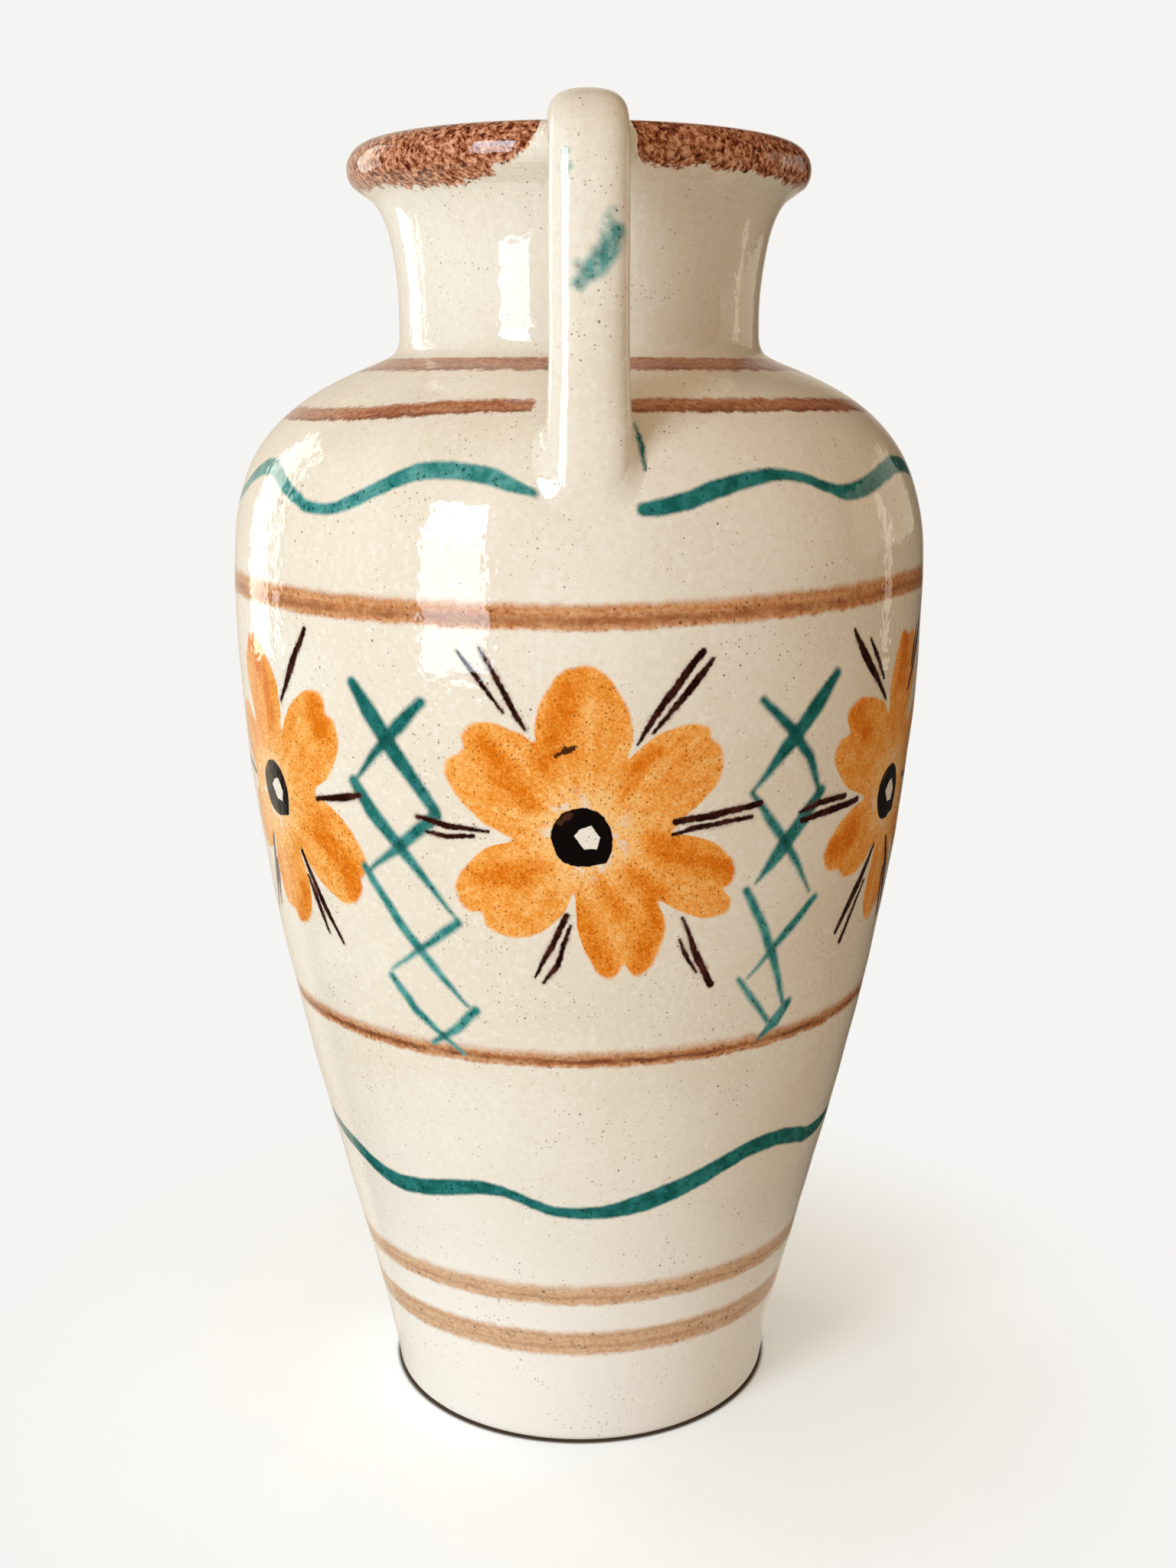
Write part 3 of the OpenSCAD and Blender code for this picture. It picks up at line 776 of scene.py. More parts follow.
FRONT_ACCENTS = [
    [(-19.1, 193, 0.19), (-16.2, 188, 0.51), (-12.5, 180.9, 0.25)],
    [(-15.8, 193.8, 0.14), (-13.3, 187.9, 0.5), (-10.2, 179.5, 0.54), (-9.3, 177.5, 0.13)],
    [(16.1, 192.7, 0.61), (12.5, 186.4, 0.78), (9, 179.9, 0.64), (6.8, 174.5, 0.18)],
    [(17.6, 191, 0.38), (14.8, 186.1, 0.8), (9, 176.8, 0.32)],
    [(12.8, 158, 0.63), (17.7, 158.7, 0.75), (26.7, 160.3, 0.62)],
    [(12.4, 155.4, 0.25), (16.4, 156.6, 0.55), (25.2, 157.6, 0.41)],
    [(-26.5, 158, 0.36), (-21.5, 156.8, 0.59), (-15.3, 156.1, 0.29)],
    [(-25.1, 154.9, 0.3), (-21.6, 154.6, 0.52), (-17.5, 155, 0.34)],
    [(-3.6, 138.4, 0.52), (-5.8, 131.6, 0.67), (-8.7, 124.3, 0.24)],
    [(-3, 136.1, 0.33), (-5, 127.3, 0.58), (-7.4, 123.1, 0.29)],
    [(14.6, 137, 0.19), (18, 126.8, 0.75), (20.5, 120.9, 0.77)],
    [(14.4, 131.9, 0.24), (15.8, 128.2, 0.49), (17.6, 124.3, 0.25)],
]
LEFT_ACCENTS = [
    [(-46.7, 194.4, 0.54), (-50.4, 186.6, 0.95), (-54.6, 177.9, 0.36)],
    [(-46.8, 158.1, 0.44), (-40.5, 159.8, 0.85), (-37, 161, 0.46)],
    [(-53.6, 144.7, 0.5), (-49.9, 134.6, 0.85), (-45.4, 125.6, 0.36)],
    [(-52.9, 139, 0.4), (-51.3, 134.2, 0.8), (-49, 127, 0.3)],
]
RIGHT_ACCENTS = [
    [(43.9, 194, 0.33), (47.1, 188.4, 1.1), (54.4, 177.8, 0.38)],
    [(48.5, 191.5, 0.31), (50.6, 187.8, 0.6), (53, 182.7, 0.39)],
    [(34.5, 157.2, 0.34), (38.9, 158.2, 0.69), (44.7, 158.4, 0.6)],
    [(35, 155.2, 0.55), (42.2, 156, 0.8), (48.5, 156.8, 0.57)],
    [(57, 144, 0.44), (52.6, 135.3, 1.15), (48.1, 126.3, 0.54)],
    [(55.1, 136.2, 0.41), (50.2, 123.5, 0.71)],
]
# The half of a side flower that the front doesn't show has the same strokes, this much closer in
FAR_HALF = 0.8
# How much wider the strokes come out than their points say
ACCENT_SPREAD = 0.1
LATTICE_SPREAD = 0.12

# Lattice strokes that fall to the right, and those that rise to the right
LEFT_FALLING = [
    [(-36.7, 184.6, 1.2), (-33.9, 179.2, 1.88), (-29.6, 170.7, 1.8), (-23.5, 159.8, 1.13)],
    [(-37.9, 163.8, 1.16), (-34.7, 157.8, 1.67), (-28.8, 149.1, 1.25), (-21.1, 136.2, 0.2)],
    [(-37.3, 145.1, 0.91), (-31.7, 133.8, 1.16), (-26, 124.6, 0.92), (-20.4, 116.3, 0.28)],
    [(-34.6, 120.9, 0.87), (-30.3, 113.4, 1.07), (-22.1, 104.8, 0.3)],
]
LEFT_RISING = [
    [(-24.9, 182.1, 0.95), (-28.9, 176.6, 1.47), (-33.8, 169.8, 0.86), (-37, 164.8, 0.37)],
    [(-23.4, 158.4, 1.33), (-29, 152.2, 1.25), (-36.3, 144.7, 0.34)],
    [(-21, 135.4, 0.88), (-23.9, 132.5, 0.94), (-29.3, 127.3, 0.56), (-34.4, 122.5, 0.17)],
    [(-19.1, 115.5, 0.97), (-22.3, 111.4, 1.04), (-27.9, 106.3, 0.47)],
]
RIGHT_FALLING = [
    [(26, 181.9, 0.7), (31.8, 174.8, 1.22), (35.4, 168.9, 1.14), (38, 161.6, 0.6)],
    [(25.1, 162.7, 0.56), (29.8, 154.6, 1.07), (34.5, 146.6, 0.86), (38.5, 138.5, 0.19)],
    [(25.5, 141.4, 0.84), (29.3, 132.9, 1.11), (32.5, 124.8, 1.11), (36.4, 113.1, 0.51)],
    [(25.8, 121.1, 0.48), (28.9, 116, 0.75), (33.3, 109.5, 0.6)],
]
RIGHT_RISING = [
    [(40.1, 185.7, 1.04), (36.2, 179.7, 1.95), (31, 171.9, 1.6), (25.5, 163.5, 0.26)],
    [(38.7, 160.9, 1.19), (35.5, 155.8, 1.86), (30.8, 148.7, 1.74), (27.1, 142.9, 0.22)],
    [(40.1, 136.6, 0.87), (35.1, 130.6, 1.24), (27.7, 121, 0.16)],
    [(37.8, 112.7, 1.03), (35.2, 108.9, 1.67), (31.8, 105.4, 0.28)],
]
# The lattice that the front doesn't show is the left one again, narrower, at this angle
FAR_LATTICE = 88.5
FAR_LATTICE_SHARE = 0.85
LEFT_LATTICE = -30.0
# Heights where the brush had run dry, and where it was full
LATTICE_DRY_Z = 125.0
LATTICE_FULL_Z = 182.0

# Lines round the vase: (angle, height), and the waves' half widths at their angles
UPPER_WAVE = [
    (-82, 218.6), (-79.5, 219.2), (-72, 223), (-67.6, 225.4), (-62, 226.7), (-58.3, 225.5),
    (-53.5, 222.7), (-49.6, 220.7), (-45.8, 219.3), (-42.6, 219.3), (-39.4, 220.2), (-32.2, 224.2),
    (-28.5, 226.2), (-24.8, 227.4), (-21.1, 227.5), (-17.5, 227.1), (-14, 226.2), (-10.9, 224.9),
    (-7.6, 223.3), (6.5, 220.3), (8.4, 220.4), (13.6, 221.7), (19.1, 224), (25.9, 225.9), (30.3, 226.4),
    (33.5, 225.9), (39.8, 223.4), (43.1, 222.4), (47.2, 222.7), (52.4, 224.2), (58.5, 225.9),
    (65.3, 226.9), (75.5, 225), (88, 219.5), (98, 218.6),
]
UPPER_WAVE_HALF = [
    (-82, 1.3), (-62, 1.7), (-50, 1.35), (-44, 1.15), (-37, 1.5), (-25, 1.75), (-14, 1.65), (-10, 1.2),
    (-7.6, 0.85), (6.5, 1.2), (10, 1.65), (16, 1.85), (25, 1.5), (33, 1.15), (37, 1.1), (43, 1.55),
    (52, 1.9), (65, 1.8), (98, 1.3),
]
LOWER_WAVE = [
    (-82, 72.5), (-75, 72.8), (-64.2, 71.2), (-56.4, 69.4), (-50.6, 67.4), (-44.2, 66.2), (-37.3, 67),
    (-30.8, 68.6), (-25.1, 70), (-19.9, 70.7), (-15.1, 69.6), (-10.4, 67.5), (-5.6, 66), (-0.9, 65.7),
    (3.9, 65.9), (8.7, 66.9), (14.2, 68.6), (19.8, 70.6), (25.5, 73), (31.5, 75.4), (36.5, 76.6),
    (42.3, 76.5), (50, 74.5), (59.5, 72.1), (67.4, 72.3), (76, 74), (84, 74.5), (98, 72.5),
]
LOWER_WAVE_HALF = [
    (-82, 1.2), (-64, 1.9), (-50, 2.2), (-40, 2.25), (-31, 2.2), (-22, 1.85), (-12, 1.4), (-2, 1.55),
    (6, 2.05), (14, 2.65), (25, 2.55), (36, 2.3), (50, 2.2), (61, 2), (72, 1.4), (98, 1.2),
]
BELLY_LINE = [
    (-82, 201), (-60, 200.7), (-46, 200.3), (-30, 200.2), (0, 199.9), (17, 200.4), (28, 200.8),
    (41, 201.3), (53, 201.8), (63, 202), (82, 201.4), (98, 201),
]
SHOULDER_LINE = [(-82, 237.6), (-60, 237.6), (-10, 239.8), (7, 239.8), (60, 239.6), (98, 237.6)]
RIM_LINE = [
    (-82, 285.5), (-60, 285), (-43, 284), (-36.4, 283.9), (-30, 284.3), (-25.8, 284.7), (-22.1, 285.5),
    (-20.7, 286.9), (-16.5, 287.9), (-13.2, 289), (-12.3, 290.4), (-10.8, 292.5), (-10.2, 297),
    (-9.6, 304), (10.2, 304), (10.7, 297), (11, 290), (12.2, 287.6), (14.7, 286.8), (20.7, 286.2),
    (25.2, 287.2), (29.3, 287.5), (31, 286.5), (37.9, 286.7), (60, 286), (98, 285.5),
]
# Values that each line stays within
UPPER_WAVE_WITHIN = (210.0, 235.0)
LOWER_WAVE_WITHIN = (60.0, 85.0)
WAVE_HALF_WITHIN = (0.0, 4.0)
BELLY_WITHIN = (195.0, 207.0)
SHOULDER_WITHIN = (230.0, 245.0)
RIM_WITHIN = (280.0, 305.0)
# Angles between which the upper wave and the shoulder's band leave room for a handle's root, how
# round the wave's ends are, and the angles over which its tone changes
WAVE_ENDS = (-7.4, 6.6)
BAND_ENDS = (-9.5, 7.0)
WAVE_END_ROUND = 2.0
WAVE_RELOAD = (-9.2, -7.8)
# A smear of teal on the shoulder, at the right of a handle's root
ROOT_SMEAR = [[(7.2, 236.3, 0.25), (7.9, 232.2, 0.6), (8.1, 228, 0.3)]]

# Brushed bands, as Glaze.band reads them
BELLY_BAND = dict(
    below=2.55, above=2.5, tones=BELLY_TONES, pools=[(-0.7, 1.6, 0.6)], soft_below=0.6, soft_above=1.0,
)
LOWER_BAND_Z = 104.6
LOWER_BAND = dict(
    below=1.5, above=2.1, tones=LOWER_TONES, pools=[(0.0, 1.1, 0.95)], soft_below=0.5, soft_above=1.3,
)
COLLAR_BAND_Z = 248.1
COLLAR_BAND = dict(
    below=1.4, above=1.4, tones=COLLAR_TONES, pools=[(-1.0, 0.6, 0.6)], soft_below=0.3, soft_above=0.4,
)
SHOULDER_BAND = dict(COLLAR_BAND, below=1.35, above=1.35)
FOOT_BANDS_Z = (42.9, 28.9)
FOOT_BANDS = (
    dict(
        below=2.8, above=2.5, tones=FOOT_TONES, pools=[(-0.7, 0.9, 0.6)],
        soft_below=0.7, soft_above=1.3, opacity=0.95,
    ),
    dict(
        below=3.3, above=3.3, tones=FOOT_TONES, pools=[(-0.9, 0.9, 0.4), (2.1, 0.8, 0.3)],
        soft_below=0.8, soft_above=0.9, opacity=0.95,
    ),
)
# The foot's bands sag towards the sides, by so much between these angles
FOOT_SAG = 1.4
FOOT_SAG_ANGLES = (20.0, 75.0)
# Heights between which painted bounce light from the floor makes the cream paler towards the foot
PAINTED_BOUNCE_FROM_Z = 110.0
PAINTED_BOUNCE_TO_Z = 8.0

# Strokes on a handle's outer face, as (millimetres to the right, height, half width)
HANDLE_STROKE = [[(5.1, 271.9, 1.4), (3.2, 268.2, 2.3), (0.4, 264.9, 2), (-2.3, 262.4, 1.2)]]
HANDLE_FAINT = [[(4.4, 275.4, 1), (2.6, 271.6, 1.6)], [(-2.7, 266.1, 0.7), (-2.4, 265.4, 0.7)]]
HANDLE_DAB = [[(-4.4, 286, 0.8), (-4.5, 283.4, 1.2)]]
# The smear goes on over the slip at the right of the root
HANDLE_SMEAR = [[(9, 236.3, 0.3), (10.2, 232.2, 0.6), (10.8, 228, 0.35)]]
# Depths behind the outer face between which the strokes thin out, and by how much
STROKE_DEPTHS = (6.0, 4.0)
STROKE_THINNING = 6.0


def closed_outline(points):
    """The outline's points, with one more at either end, where it comes round to itself."""
    (last, last_reach), (first, first_reach) = points[-1], points[0]
    share = (180 - last) / (first + 360 - last)
    seam_reach = last_reach + share * (first_reach - last_reach)
    return [(-180, seam_reach)] + points + [(180, seam_reach)]


def moved(strokes, centre, share, new_centre):
    """Strokes round one angle again round another one, narrower by a share or, below 0, mirrored."""
    return [[(new_centre + share * (a - centre), z, half) for a, z, half in stroke] for stroke in strokes]


def mirrored(strokes, centre):
    """The other half of a side flower's strokes."""
    return moved(strokes, centre, -FAR_HALF, centre)


def far_lattice(strokes):
    """The left lattice's strokes again, where the front doesn't show them."""
    return moved(strokes, LEFT_LATTICE, FAR_LATTICE_SHARE, FAR_LATTICE)


def paint_petals(g):
    """Orange petals: streaked outwards, grainy, pale by the middle and thick in places."""
    petals = g.fold("MINIMUM", (g.outline_gap(*flower) for flower in FLOWERS))
    thick = g.fade(g.gap_to(DEEP_ORANGE), 2.6, -1.4, 0.0, 0.4)
    # Polar coordinates round the nearest flower
    across = g.math("WRAP", g.plus(g.angle, FLOWER_SHIFT), FLOWER_HALF_STEP, -FLOWER_HALF_STEP)
    across = g.times(across, PER_DEGREE)
    up = g.minus(g.z, FLOWER_Z)
    reach = g.math("SQRT", g.plus(g.times(across, across), g.times(up, up)))
    spokes = g.combine(
        g.times(g.math("DIVIDE", across, reach), SPOKES_ROUND),
        g.times(g.math("DIVIDE", up, reach), SPOKES_ROUND),
        g.times(reach, SPOKES_OUT),
    )
    streaks = g.noise(spokes, 1.2, 3.0, 0.6)
    density = g.plus(thick, g.fade(streaks, 0.25, 0.75, 0.24, 0.5))
    density = g.plus(density, g.fade(g.body_noise, 0.3, 0.75, -0.08, 0.14))
    density = g.math("MULTIPLY_ADD", g.bristle, 0.7, density)
    density = g.plus(density, g.fade(g.texture(PETAL_MOTTLE), 0.25, 0.75, -0.2, 0.2))
    density = g.minus(density, g.fade(reach, *PALE_MIDDLE, 0.0, 0.32))
    orange = g.ramp(density, ORANGE_STOPS)
    orange = g.mix(g.times(g.specks(*ORANGE_SPECKS), 0.85), orange, ORANGE_GRAIN)
    bare = g.times(g.fade(g.body_noise, 0.5, 0.64, 0.0, 0.75), g.fade(reach, *BARE_MIDDLE))
    share = g.minus(1.0, bare)
    g.paint(g.times(g.rough_edge(petals, 0.9, 0.65), share), orange)
    g.paint(g.rough_edge(g.gap_to(SMUDGE), 2.6, 0.25), SMUDGE_BROWN)


def paint_lattices(g):
    """Teal lattices. The brush came full to the top of each one and ran dry on the way down."""
    fuller = g.fade(g.z, LATTICE_DRY_Z, LATTICE_FULL_Z)
    thin = g.mix(fuller, TEAL_LATTICE, TEAL_FULL)
    deep = g.mix(fuller, TEAL, TEAL_DEEP)
    shares = []
    for left, right in ((LEFT_RISING, RIGHT_RISING), (LEFT_FALLING, RIGHT_FALLING)):
        gap = g.minus(g.gap_to(left + right + far_lattice(left)), LATTICE_SPREAD)
        shares.append(g.teal(gap, thin, deep, soft=0.7, core=0.2))
    g.paint(g.times(*shares, 0.5), TEAL_DARK)


def paint_accents(g):
    """Dark double strokes between the petals, a little blurred."""
    accents = FRONT_ACCENTS + LEFT_ACCENTS + RIGHT_ACCENTS
    accents = accents + mirrored(LEFT_ACCENTS[1:], LEFT_CENTRE[0])
    accents = accents + mirrored(RIGHT_ACCENTS, RIGHT_CENTRE[0])
    gap = g.gap_to(accents)
    blur = g.times(g.fade(gap, 1.1, -0.1), g.fade(g.body_noise, 0.4, 0.75, 0.05, 0.6))
    g.paint(blur, MAROON)
    ink = g.mix(g.fade(g.body_noise, 0.4, 0.7, 0.0, 0.3), BROWN_BLACK, MAROON)
    g.paint(g.rough_edge(g.minus(gap, ACCENT_SPREAD), 0.7, 0.25), ink)


def paint_middles(g):
    """A black ring, worn brown at one place, and a cream eye in the middle of each flower."""
    rings = g.fold("MINIMUM", (g.outline_gap(centre, RING_OUTLINE) for centre, _ in FLOWERS))
    ring = g.rough_edge(rings, 0.6, 0.14)
    g.paint(ring, BLACK)
    worn = [[(a + across, z + up, half) for across, up, half in RING_WEAR] for (a, z), _ in FLOWERS]
    g.paint(g.times(g.rough_edge(g.gap_to(worn), 1.5, 0.4), g.times(ring, 0.7)), RING_BROWN)
    eyes = g.fold("MINIMUM", (g.polygon_gap(centre, EYE) for centre, _ in FLOWERS))
    g.paint(g.rough_edge(eyes, 0.5, 0.12), CREAM)


def flower_glaze():
    """The wide zone of flowers and lattices between the belly and the lower band."""
    g = Glaze("glaze_flowers")
    g.paint_plane()
    g.belly_band()
    g.band(LOWER_BAND_Z, **LOWER_BAND)
    paint_petals(g)
    paint_lattices(g)
    paint_accents(g)
    paint_middles(g)
    return g.finish()


def wave_gap(g, line_points, half_points, within):
    """Distance outside a wavy brush line round the vase."""
    middle = g.line_round(line_points, within)
    half = g.line_round(half_points, WAVE_HALF_WITHIN)
    drawn = g.split(g.flat)[1]
    gap = g.math("ABSOLUTE", g.minus(drawn, middle))
    return g.minus(gap, half)


def into_gap(g, ends):
    """Distance in millimetres into the stretch between two angles."""
    left = g.minus(g.angle, ends[0])
    right = g.minus(ends[1], g.angle)
    return g.times(g.math("MINIMUM", left, right), PER_DEGREE)


def lower_glaze():
    """The tapering zone with one wavy line and two pale bands, and painted bounce light from the floor that
    makes it paler towards the foot.
    """
    g = Glaze("glaze_lower_wall")
    g.paint_plane()
    sag = g.fade(g.math("ABSOLUTE", g.angle), *FOOT_SAG_ANGLES, 0.0, -FOOT_SAG)
    # Painted bounce light from the floor: paler cream towards the foot
    g.paint(g.fade(g.z, PAINTED_BOUNCE_FROM_Z, PAINTED_BOUNCE_TO_Z, 0.0, 0.95), PAINTED_BOUNCE_CREAM)
    for middle, band in zip(FOOT_BANDS_Z, FOOT_BANDS):
        g.band(g.plus(sag, middle), **band)
    g.teal(wave_gap(g, LOWER_WAVE, LOWER_WAVE_HALF, LOWER_WAVE_WITHIN), TEAL, TEAL_DEEP)
    return g.finish()


def shoulder_glaze():
    """The shoulder with its three bands and the upper wavy line."""
    g = Glaze("glaze_shoulder")
    g.paint_plane()
    g.belly_band()
    middle = g.line_round(SHOULDER_LINE, SHOULDER_WITHIN, "AUTO_CLAMPED")
    g.band(middle, **SHOULDER_BAND, free=into_gap(g, BAND_ENDS))
    g.band(COLLAR_BAND_Z, **COLLAR_BAND)
    gap = wave_gap(g, UPPER_WAVE, UPPER_WAVE_HALF, UPPER_WAVE_WITHIN)
    # The stroke ends in a drop at a handle's left, and the brush was loaded again to its right
    loaded = g.fade(g.angle, *WAVE_RELOAD)
    thin = g.mix(loaded, TEAL_THIN, TEAL)
    deep = g.mix(loaded, TEAL, TEAL_DEEP)
    g.teal(g.math("SMOOTH_MAX", gap, into_gap(g, WAVE_ENDS), WAVE_END_ROUND), thin, deep)
    g.teal(g.gap_to(ROOT_SMEAR), TEAL, TEAL_DEEP)
    return g.finish()


def rim_glaze():
    """The lip, sponged with brown that stops short of the handles."""
    g = Glaze("glaze_rim")
    g.paint_plane()
    edge = g.line_round(RIM_LINE, RIM_WITHIN, "AUTO_CLAMPED")
    gap = g.plus(g.minus(edge, g.z), g.fade(g.body_noise, 0.3, 0.7, -0.5, 0.5))
    tone = g.ramp(g.texture(RIM_CURLS, 3.0, 0.6, 0.6), RIM_STOPS)
    tone = g.mix(g.times(g.specks(*RIM_SPECKS), 0.8), tone, RIM_SPECK)
    g.paint(g.rough_edge(gap, 2.2, 0.35), tone)
    return g.finish()


def on_handle(strokes):
    """Strokes measured in millimetres across a handle, as gap_to reads them."""
    return [[(x / PER_DEGREE, z, half) for x, z, half in stroke] for stroke in strokes]


def handle_glaze():
    """A handle with one teal stroke and a dab on its outer face, and a smear at its root."""
    g = Glaze("glaze_handle")
    g.paint_plane()
    across = g.times(g.x, g.math("SIGN", g.times(g.y, -1.0)))
    inner, outer = (handle_face - depth for depth in STROKE_DEPTHS)
    inner_side = g.fade(g.math("ABSOLUTE", g.y), inner, outer, STROKE_THINNING, 0.0)
    g.flat = g.unsteady(across, HANDLE_SHAKE, 1.6)
    patchy = g.fade(g.texture(HANDLE_PATCHES, 3.0, 0.6), 0.38, 0.6)
    for strokes, most, least, soft in (
        (HANDLE_FAINT, 0.55, 0.15, 1.0), (HANDLE_STROKE, 0.95, 0.7, 1.0), (HANDLE_DAB, 0.6, 0.0, 0.6),
    ):
        gap = g.plus(g.gap_to(on_handle(strokes)), inner_side)
        opacity = g.math("MULTIPLY_ADD", patchy, most - least, least)
        g.teal(gap, TEAL_THIN, TEAL, soft, opacity)
    g.teal(g.gap_to(on_handle(HANDLE_SMEAR)), TEAL, TEAL_DEEP)
    return g.finish()


def bare_clay():
    """The unglazed foot ring."""
    g = Glaze("bare_clay")
    grit = g.texture(CLAY_GRIT, 4.0, 0.7)
    colour = g.mix(g.fade(grit, 0.35, 0.65), CLAY_DARK, CLAY)
    bump = g.node("Bump", {"Height": grit, "Strength": 0.6, "Distance": GRIT_DEPTH})
    rough = g.fade(grit, 0.3, 0.7, 0.75, 0.9)
    surface = g.node("BsdfPrincipled", {
        "Base Color": colour, "Roughness": rough, "Normal": bump.outputs[0],
    })
    g.node("OutputMaterial", {"Surface": surface.outputs[0]})
    return g.owner


FLOWERS_GLAZE = flower_glaze()
LOWER_GLAZE = lower_glaze()
SHOULDER_GLAZE = shoulder_glaze()
RIM_GLAZE = rim_glaze()
HANDLE_GLAZE = handle_glaze()
PLAIN_GLAZE = Glaze("glaze_plain").finish()
CLAY_MATERIAL = bare_clay()


# Thrown sections

def build_skin():
    """The whole outer profile in one line, and the row where each section starts or ends."""
    stretches = [
        ("foot", arc(foot_edge_c, FOOT_EDGE, -math.pi / 2, -WALL_LEAN, EDGE_ROWS)),
        ("wall", bezier(wall_curve, np.linspace(0, 1, WALL_ROWS + 1))),
        ("belly_slip", line((belly_r, belly_z), (belly_r, belly_z + SLIP_T))),
        ("shoulder", bezier(shoulder_curve, np.linspace(0, 1, SHOULDER_ROWS + 1))),
        ("neck_slip", line((neck_seat_r, neck_z), (neck_seat_r, neck_foot))),
        ("neck_corner", corner((neck_seat_r, neck_foot), (neck_r, neck_foot), flare_curve[0], CORNER_ROWS)),
        ("neck", bezier(flare_curve, np.linspace(0, 1, NECK_ROWS + 1))),
        ("rim_slip", line((neck_flare_r, rim_z), rim_foot)),
        ("rim_under", line(rim_foot, lip_start, UNDER_LIP_ROWS)),
        ("lip", arc(lip_c, LIP_R, -FLARE_ANGLE, math.pi, LIP_ROWS)),
        ("rim_inside", line((lip_c[0] - LIP_R, lip_c[1]), (flare_in, rim_foot[1]), STRAIGHT_ROWS)),
    ]
    profile = stretches[0][1]
    ends = {}
    for name, points in stretches:
        if name != "foot":
            profile = np.concatenate([profile, points[1:]])
        ends[name] = len(profile) - 1
    return profile, ends


def eased(profile, first, last, rounds):
    """The profile with its rows from first to last drawn smooth, as a thumb wipes a seam."""
    points = profile.copy()
    for _ in range(rounds):
        between = (points[first - 1:last] + points[first + 1:last + 2]) / 2
        points[first:last + 1] = (points[first:last + 1] + between) / 2
    return points


skin_profile, skin_end = build_skin()
wiped_from = skin_end["shoulder"] - WIPED_BELOW
wiped_to = skin_end["neck_slip"] + WIPED_ABOVE
skin = turn(eased(skin_profile, wiped_from, wiped_to, WIPES), throwing_marks)
skin_normals = grid_normals(skin)


def skin_run(first, last, slot=0):
    """The skin between two rows."""
    return Run(skin[first:last + 1], slot, skin_normals[first:last + 1])


def joined(first, run_points, last, slot):
    """Flat runs from one ring through points to another ring."""
    rings = np.concatenate([first[None], turn(np.array(run_points, float)), last[None]])
    return [Run(rings[i:i + 2], slot) for i in range(len(rings) - 1)]


def seam_vee(r_in, r_out, z):
    """The V that locks a seam, from the outside in."""
    middle, half = (r_in + r_out) / 2, (r_out - r_in) / 2 - SEAM_LAND
    return [(middle + half, z), (middle, z - CHANNEL_D), (middle - half, z)]


def lower_body():
    """The lower wall with its two painted zones, the floor and the unglazed foot ring."""
    top, bottom = skin_end["wall"], 0
    heights = skin_profile[:top + 1, 1]
    zones = np.where((heights[:-1] + heights[1:]) / 2 > LOWER_ZONE_TOP, 1, 0)
    inner_low = float(at_height(wall_curve, floor_z + FLOOR_FILLET))
    inner = bezier_beside(wall_curve, np.linspace(1, inner_low, WALL_INSIDE_ROWS + 1), WALL_T)
    foot = inner[-1]
    sharp = np.array([foot[0] - (foot[1] - floor_z) * math.tan(WALL_LEAN), floor_z])
    turned_in = corner(foot, sharp, sharp - (FLOOR_FILLET, 0), CORNER_ROWS)
    floor = line(turned_in[-1], (0, floor_z), STRAIGHT_ROWS)
    inside = turn(np.concatenate([inner, turned_in[1:], floor[1:]]), finger_marks)
    inside[-1, :, :2] = 0
    recess = turn(np.array([(0, FOOT_RECESS), (foot_ring_in - FOOT_RECESS, FOOT_RECESS)]))
    ring = turn(np.array([(foot_ring_in - FOOT_RECESS, FOOT_RECESS), (foot_ring_in, 0)]))
    runs = [Run(recess, 2, first_is_point=True), Run(ring, 2)]
    runs.append(Run(np.stack([ring[-1], skin[bottom]]), 2))
    runs.append(skin_run(bottom, top, zones))
    runs += joined(skin[top], seam_vee(belly_in, belly_r, belly_z), inside[0], 3)
    runs.append(Run(inside, 3, last_is_point=True))
    materials = [LOWER_GLAZE, FLOWERS_GLAZE, CLAY_MATERIAL, PLAIN_GLAZE]
    return make_piece("lower_body_glazed", runs, materials, closed=False)


def slip_ring(name, stretch, r_in, material):
    """A ring of slip that fills a seam, flush with the skin outside."""
    low, high = skin_end[stretch] - 1, skin_end[stretch]
    r_out = skin_profile[low, 0]
    z_low, z_high = skin_profile[low, 1], skin_profile[high, 1]
    inner = turn(np.array([(r_in, z_high), (r_in, z_low)]))
    runs = [skin_run(low, high)]
    runs += joined(skin[high], seam_vee(r_in, r_out, z_high), inner[0], 0)
    runs.append(Run(inner))
    runs += joined(inner[1], seam_vee(r_in, r_out, z_low)[::-1], skin[low], 0)
    return make_piece(name, runs, [material], closed=True)


def shoulder():
    """The shoulder's wall, from the belly's seam to the throat."""
    low, high = skin_end["belly_slip"], skin_end["shoulder"]
    down = np.linspace(1, 0, SHOULDER_INSIDE_ROWS + 1)
    inner = turn(bezier_beside(shoulder_curve, down, WALL_T), finger_marks)
    throat = turn(np.array([(throat_r, neck_z), (throat_r, neck_z - WALL_T)]))
    runs = [skin_run(low, high)]
    runs += joined(skin[high], seam_vee(throat_r, neck_seat_r, neck_z), throat[0], 1)
    runs.append(Run(throat, 1))
    runs.append(Run(np.stack([throat[1], inner[0]]), 1))
    runs.append(Run(inner, 1))
    runs += joined(inner[-1], seam_vee(belly_in, belly_r, belly_z + SLIP_T)[::-1], skin[low], 1)
    return make_piece("shoulder_glazed", runs, [SHOULDER_GLAZE, PLAIN_GLAZE], closed=True)


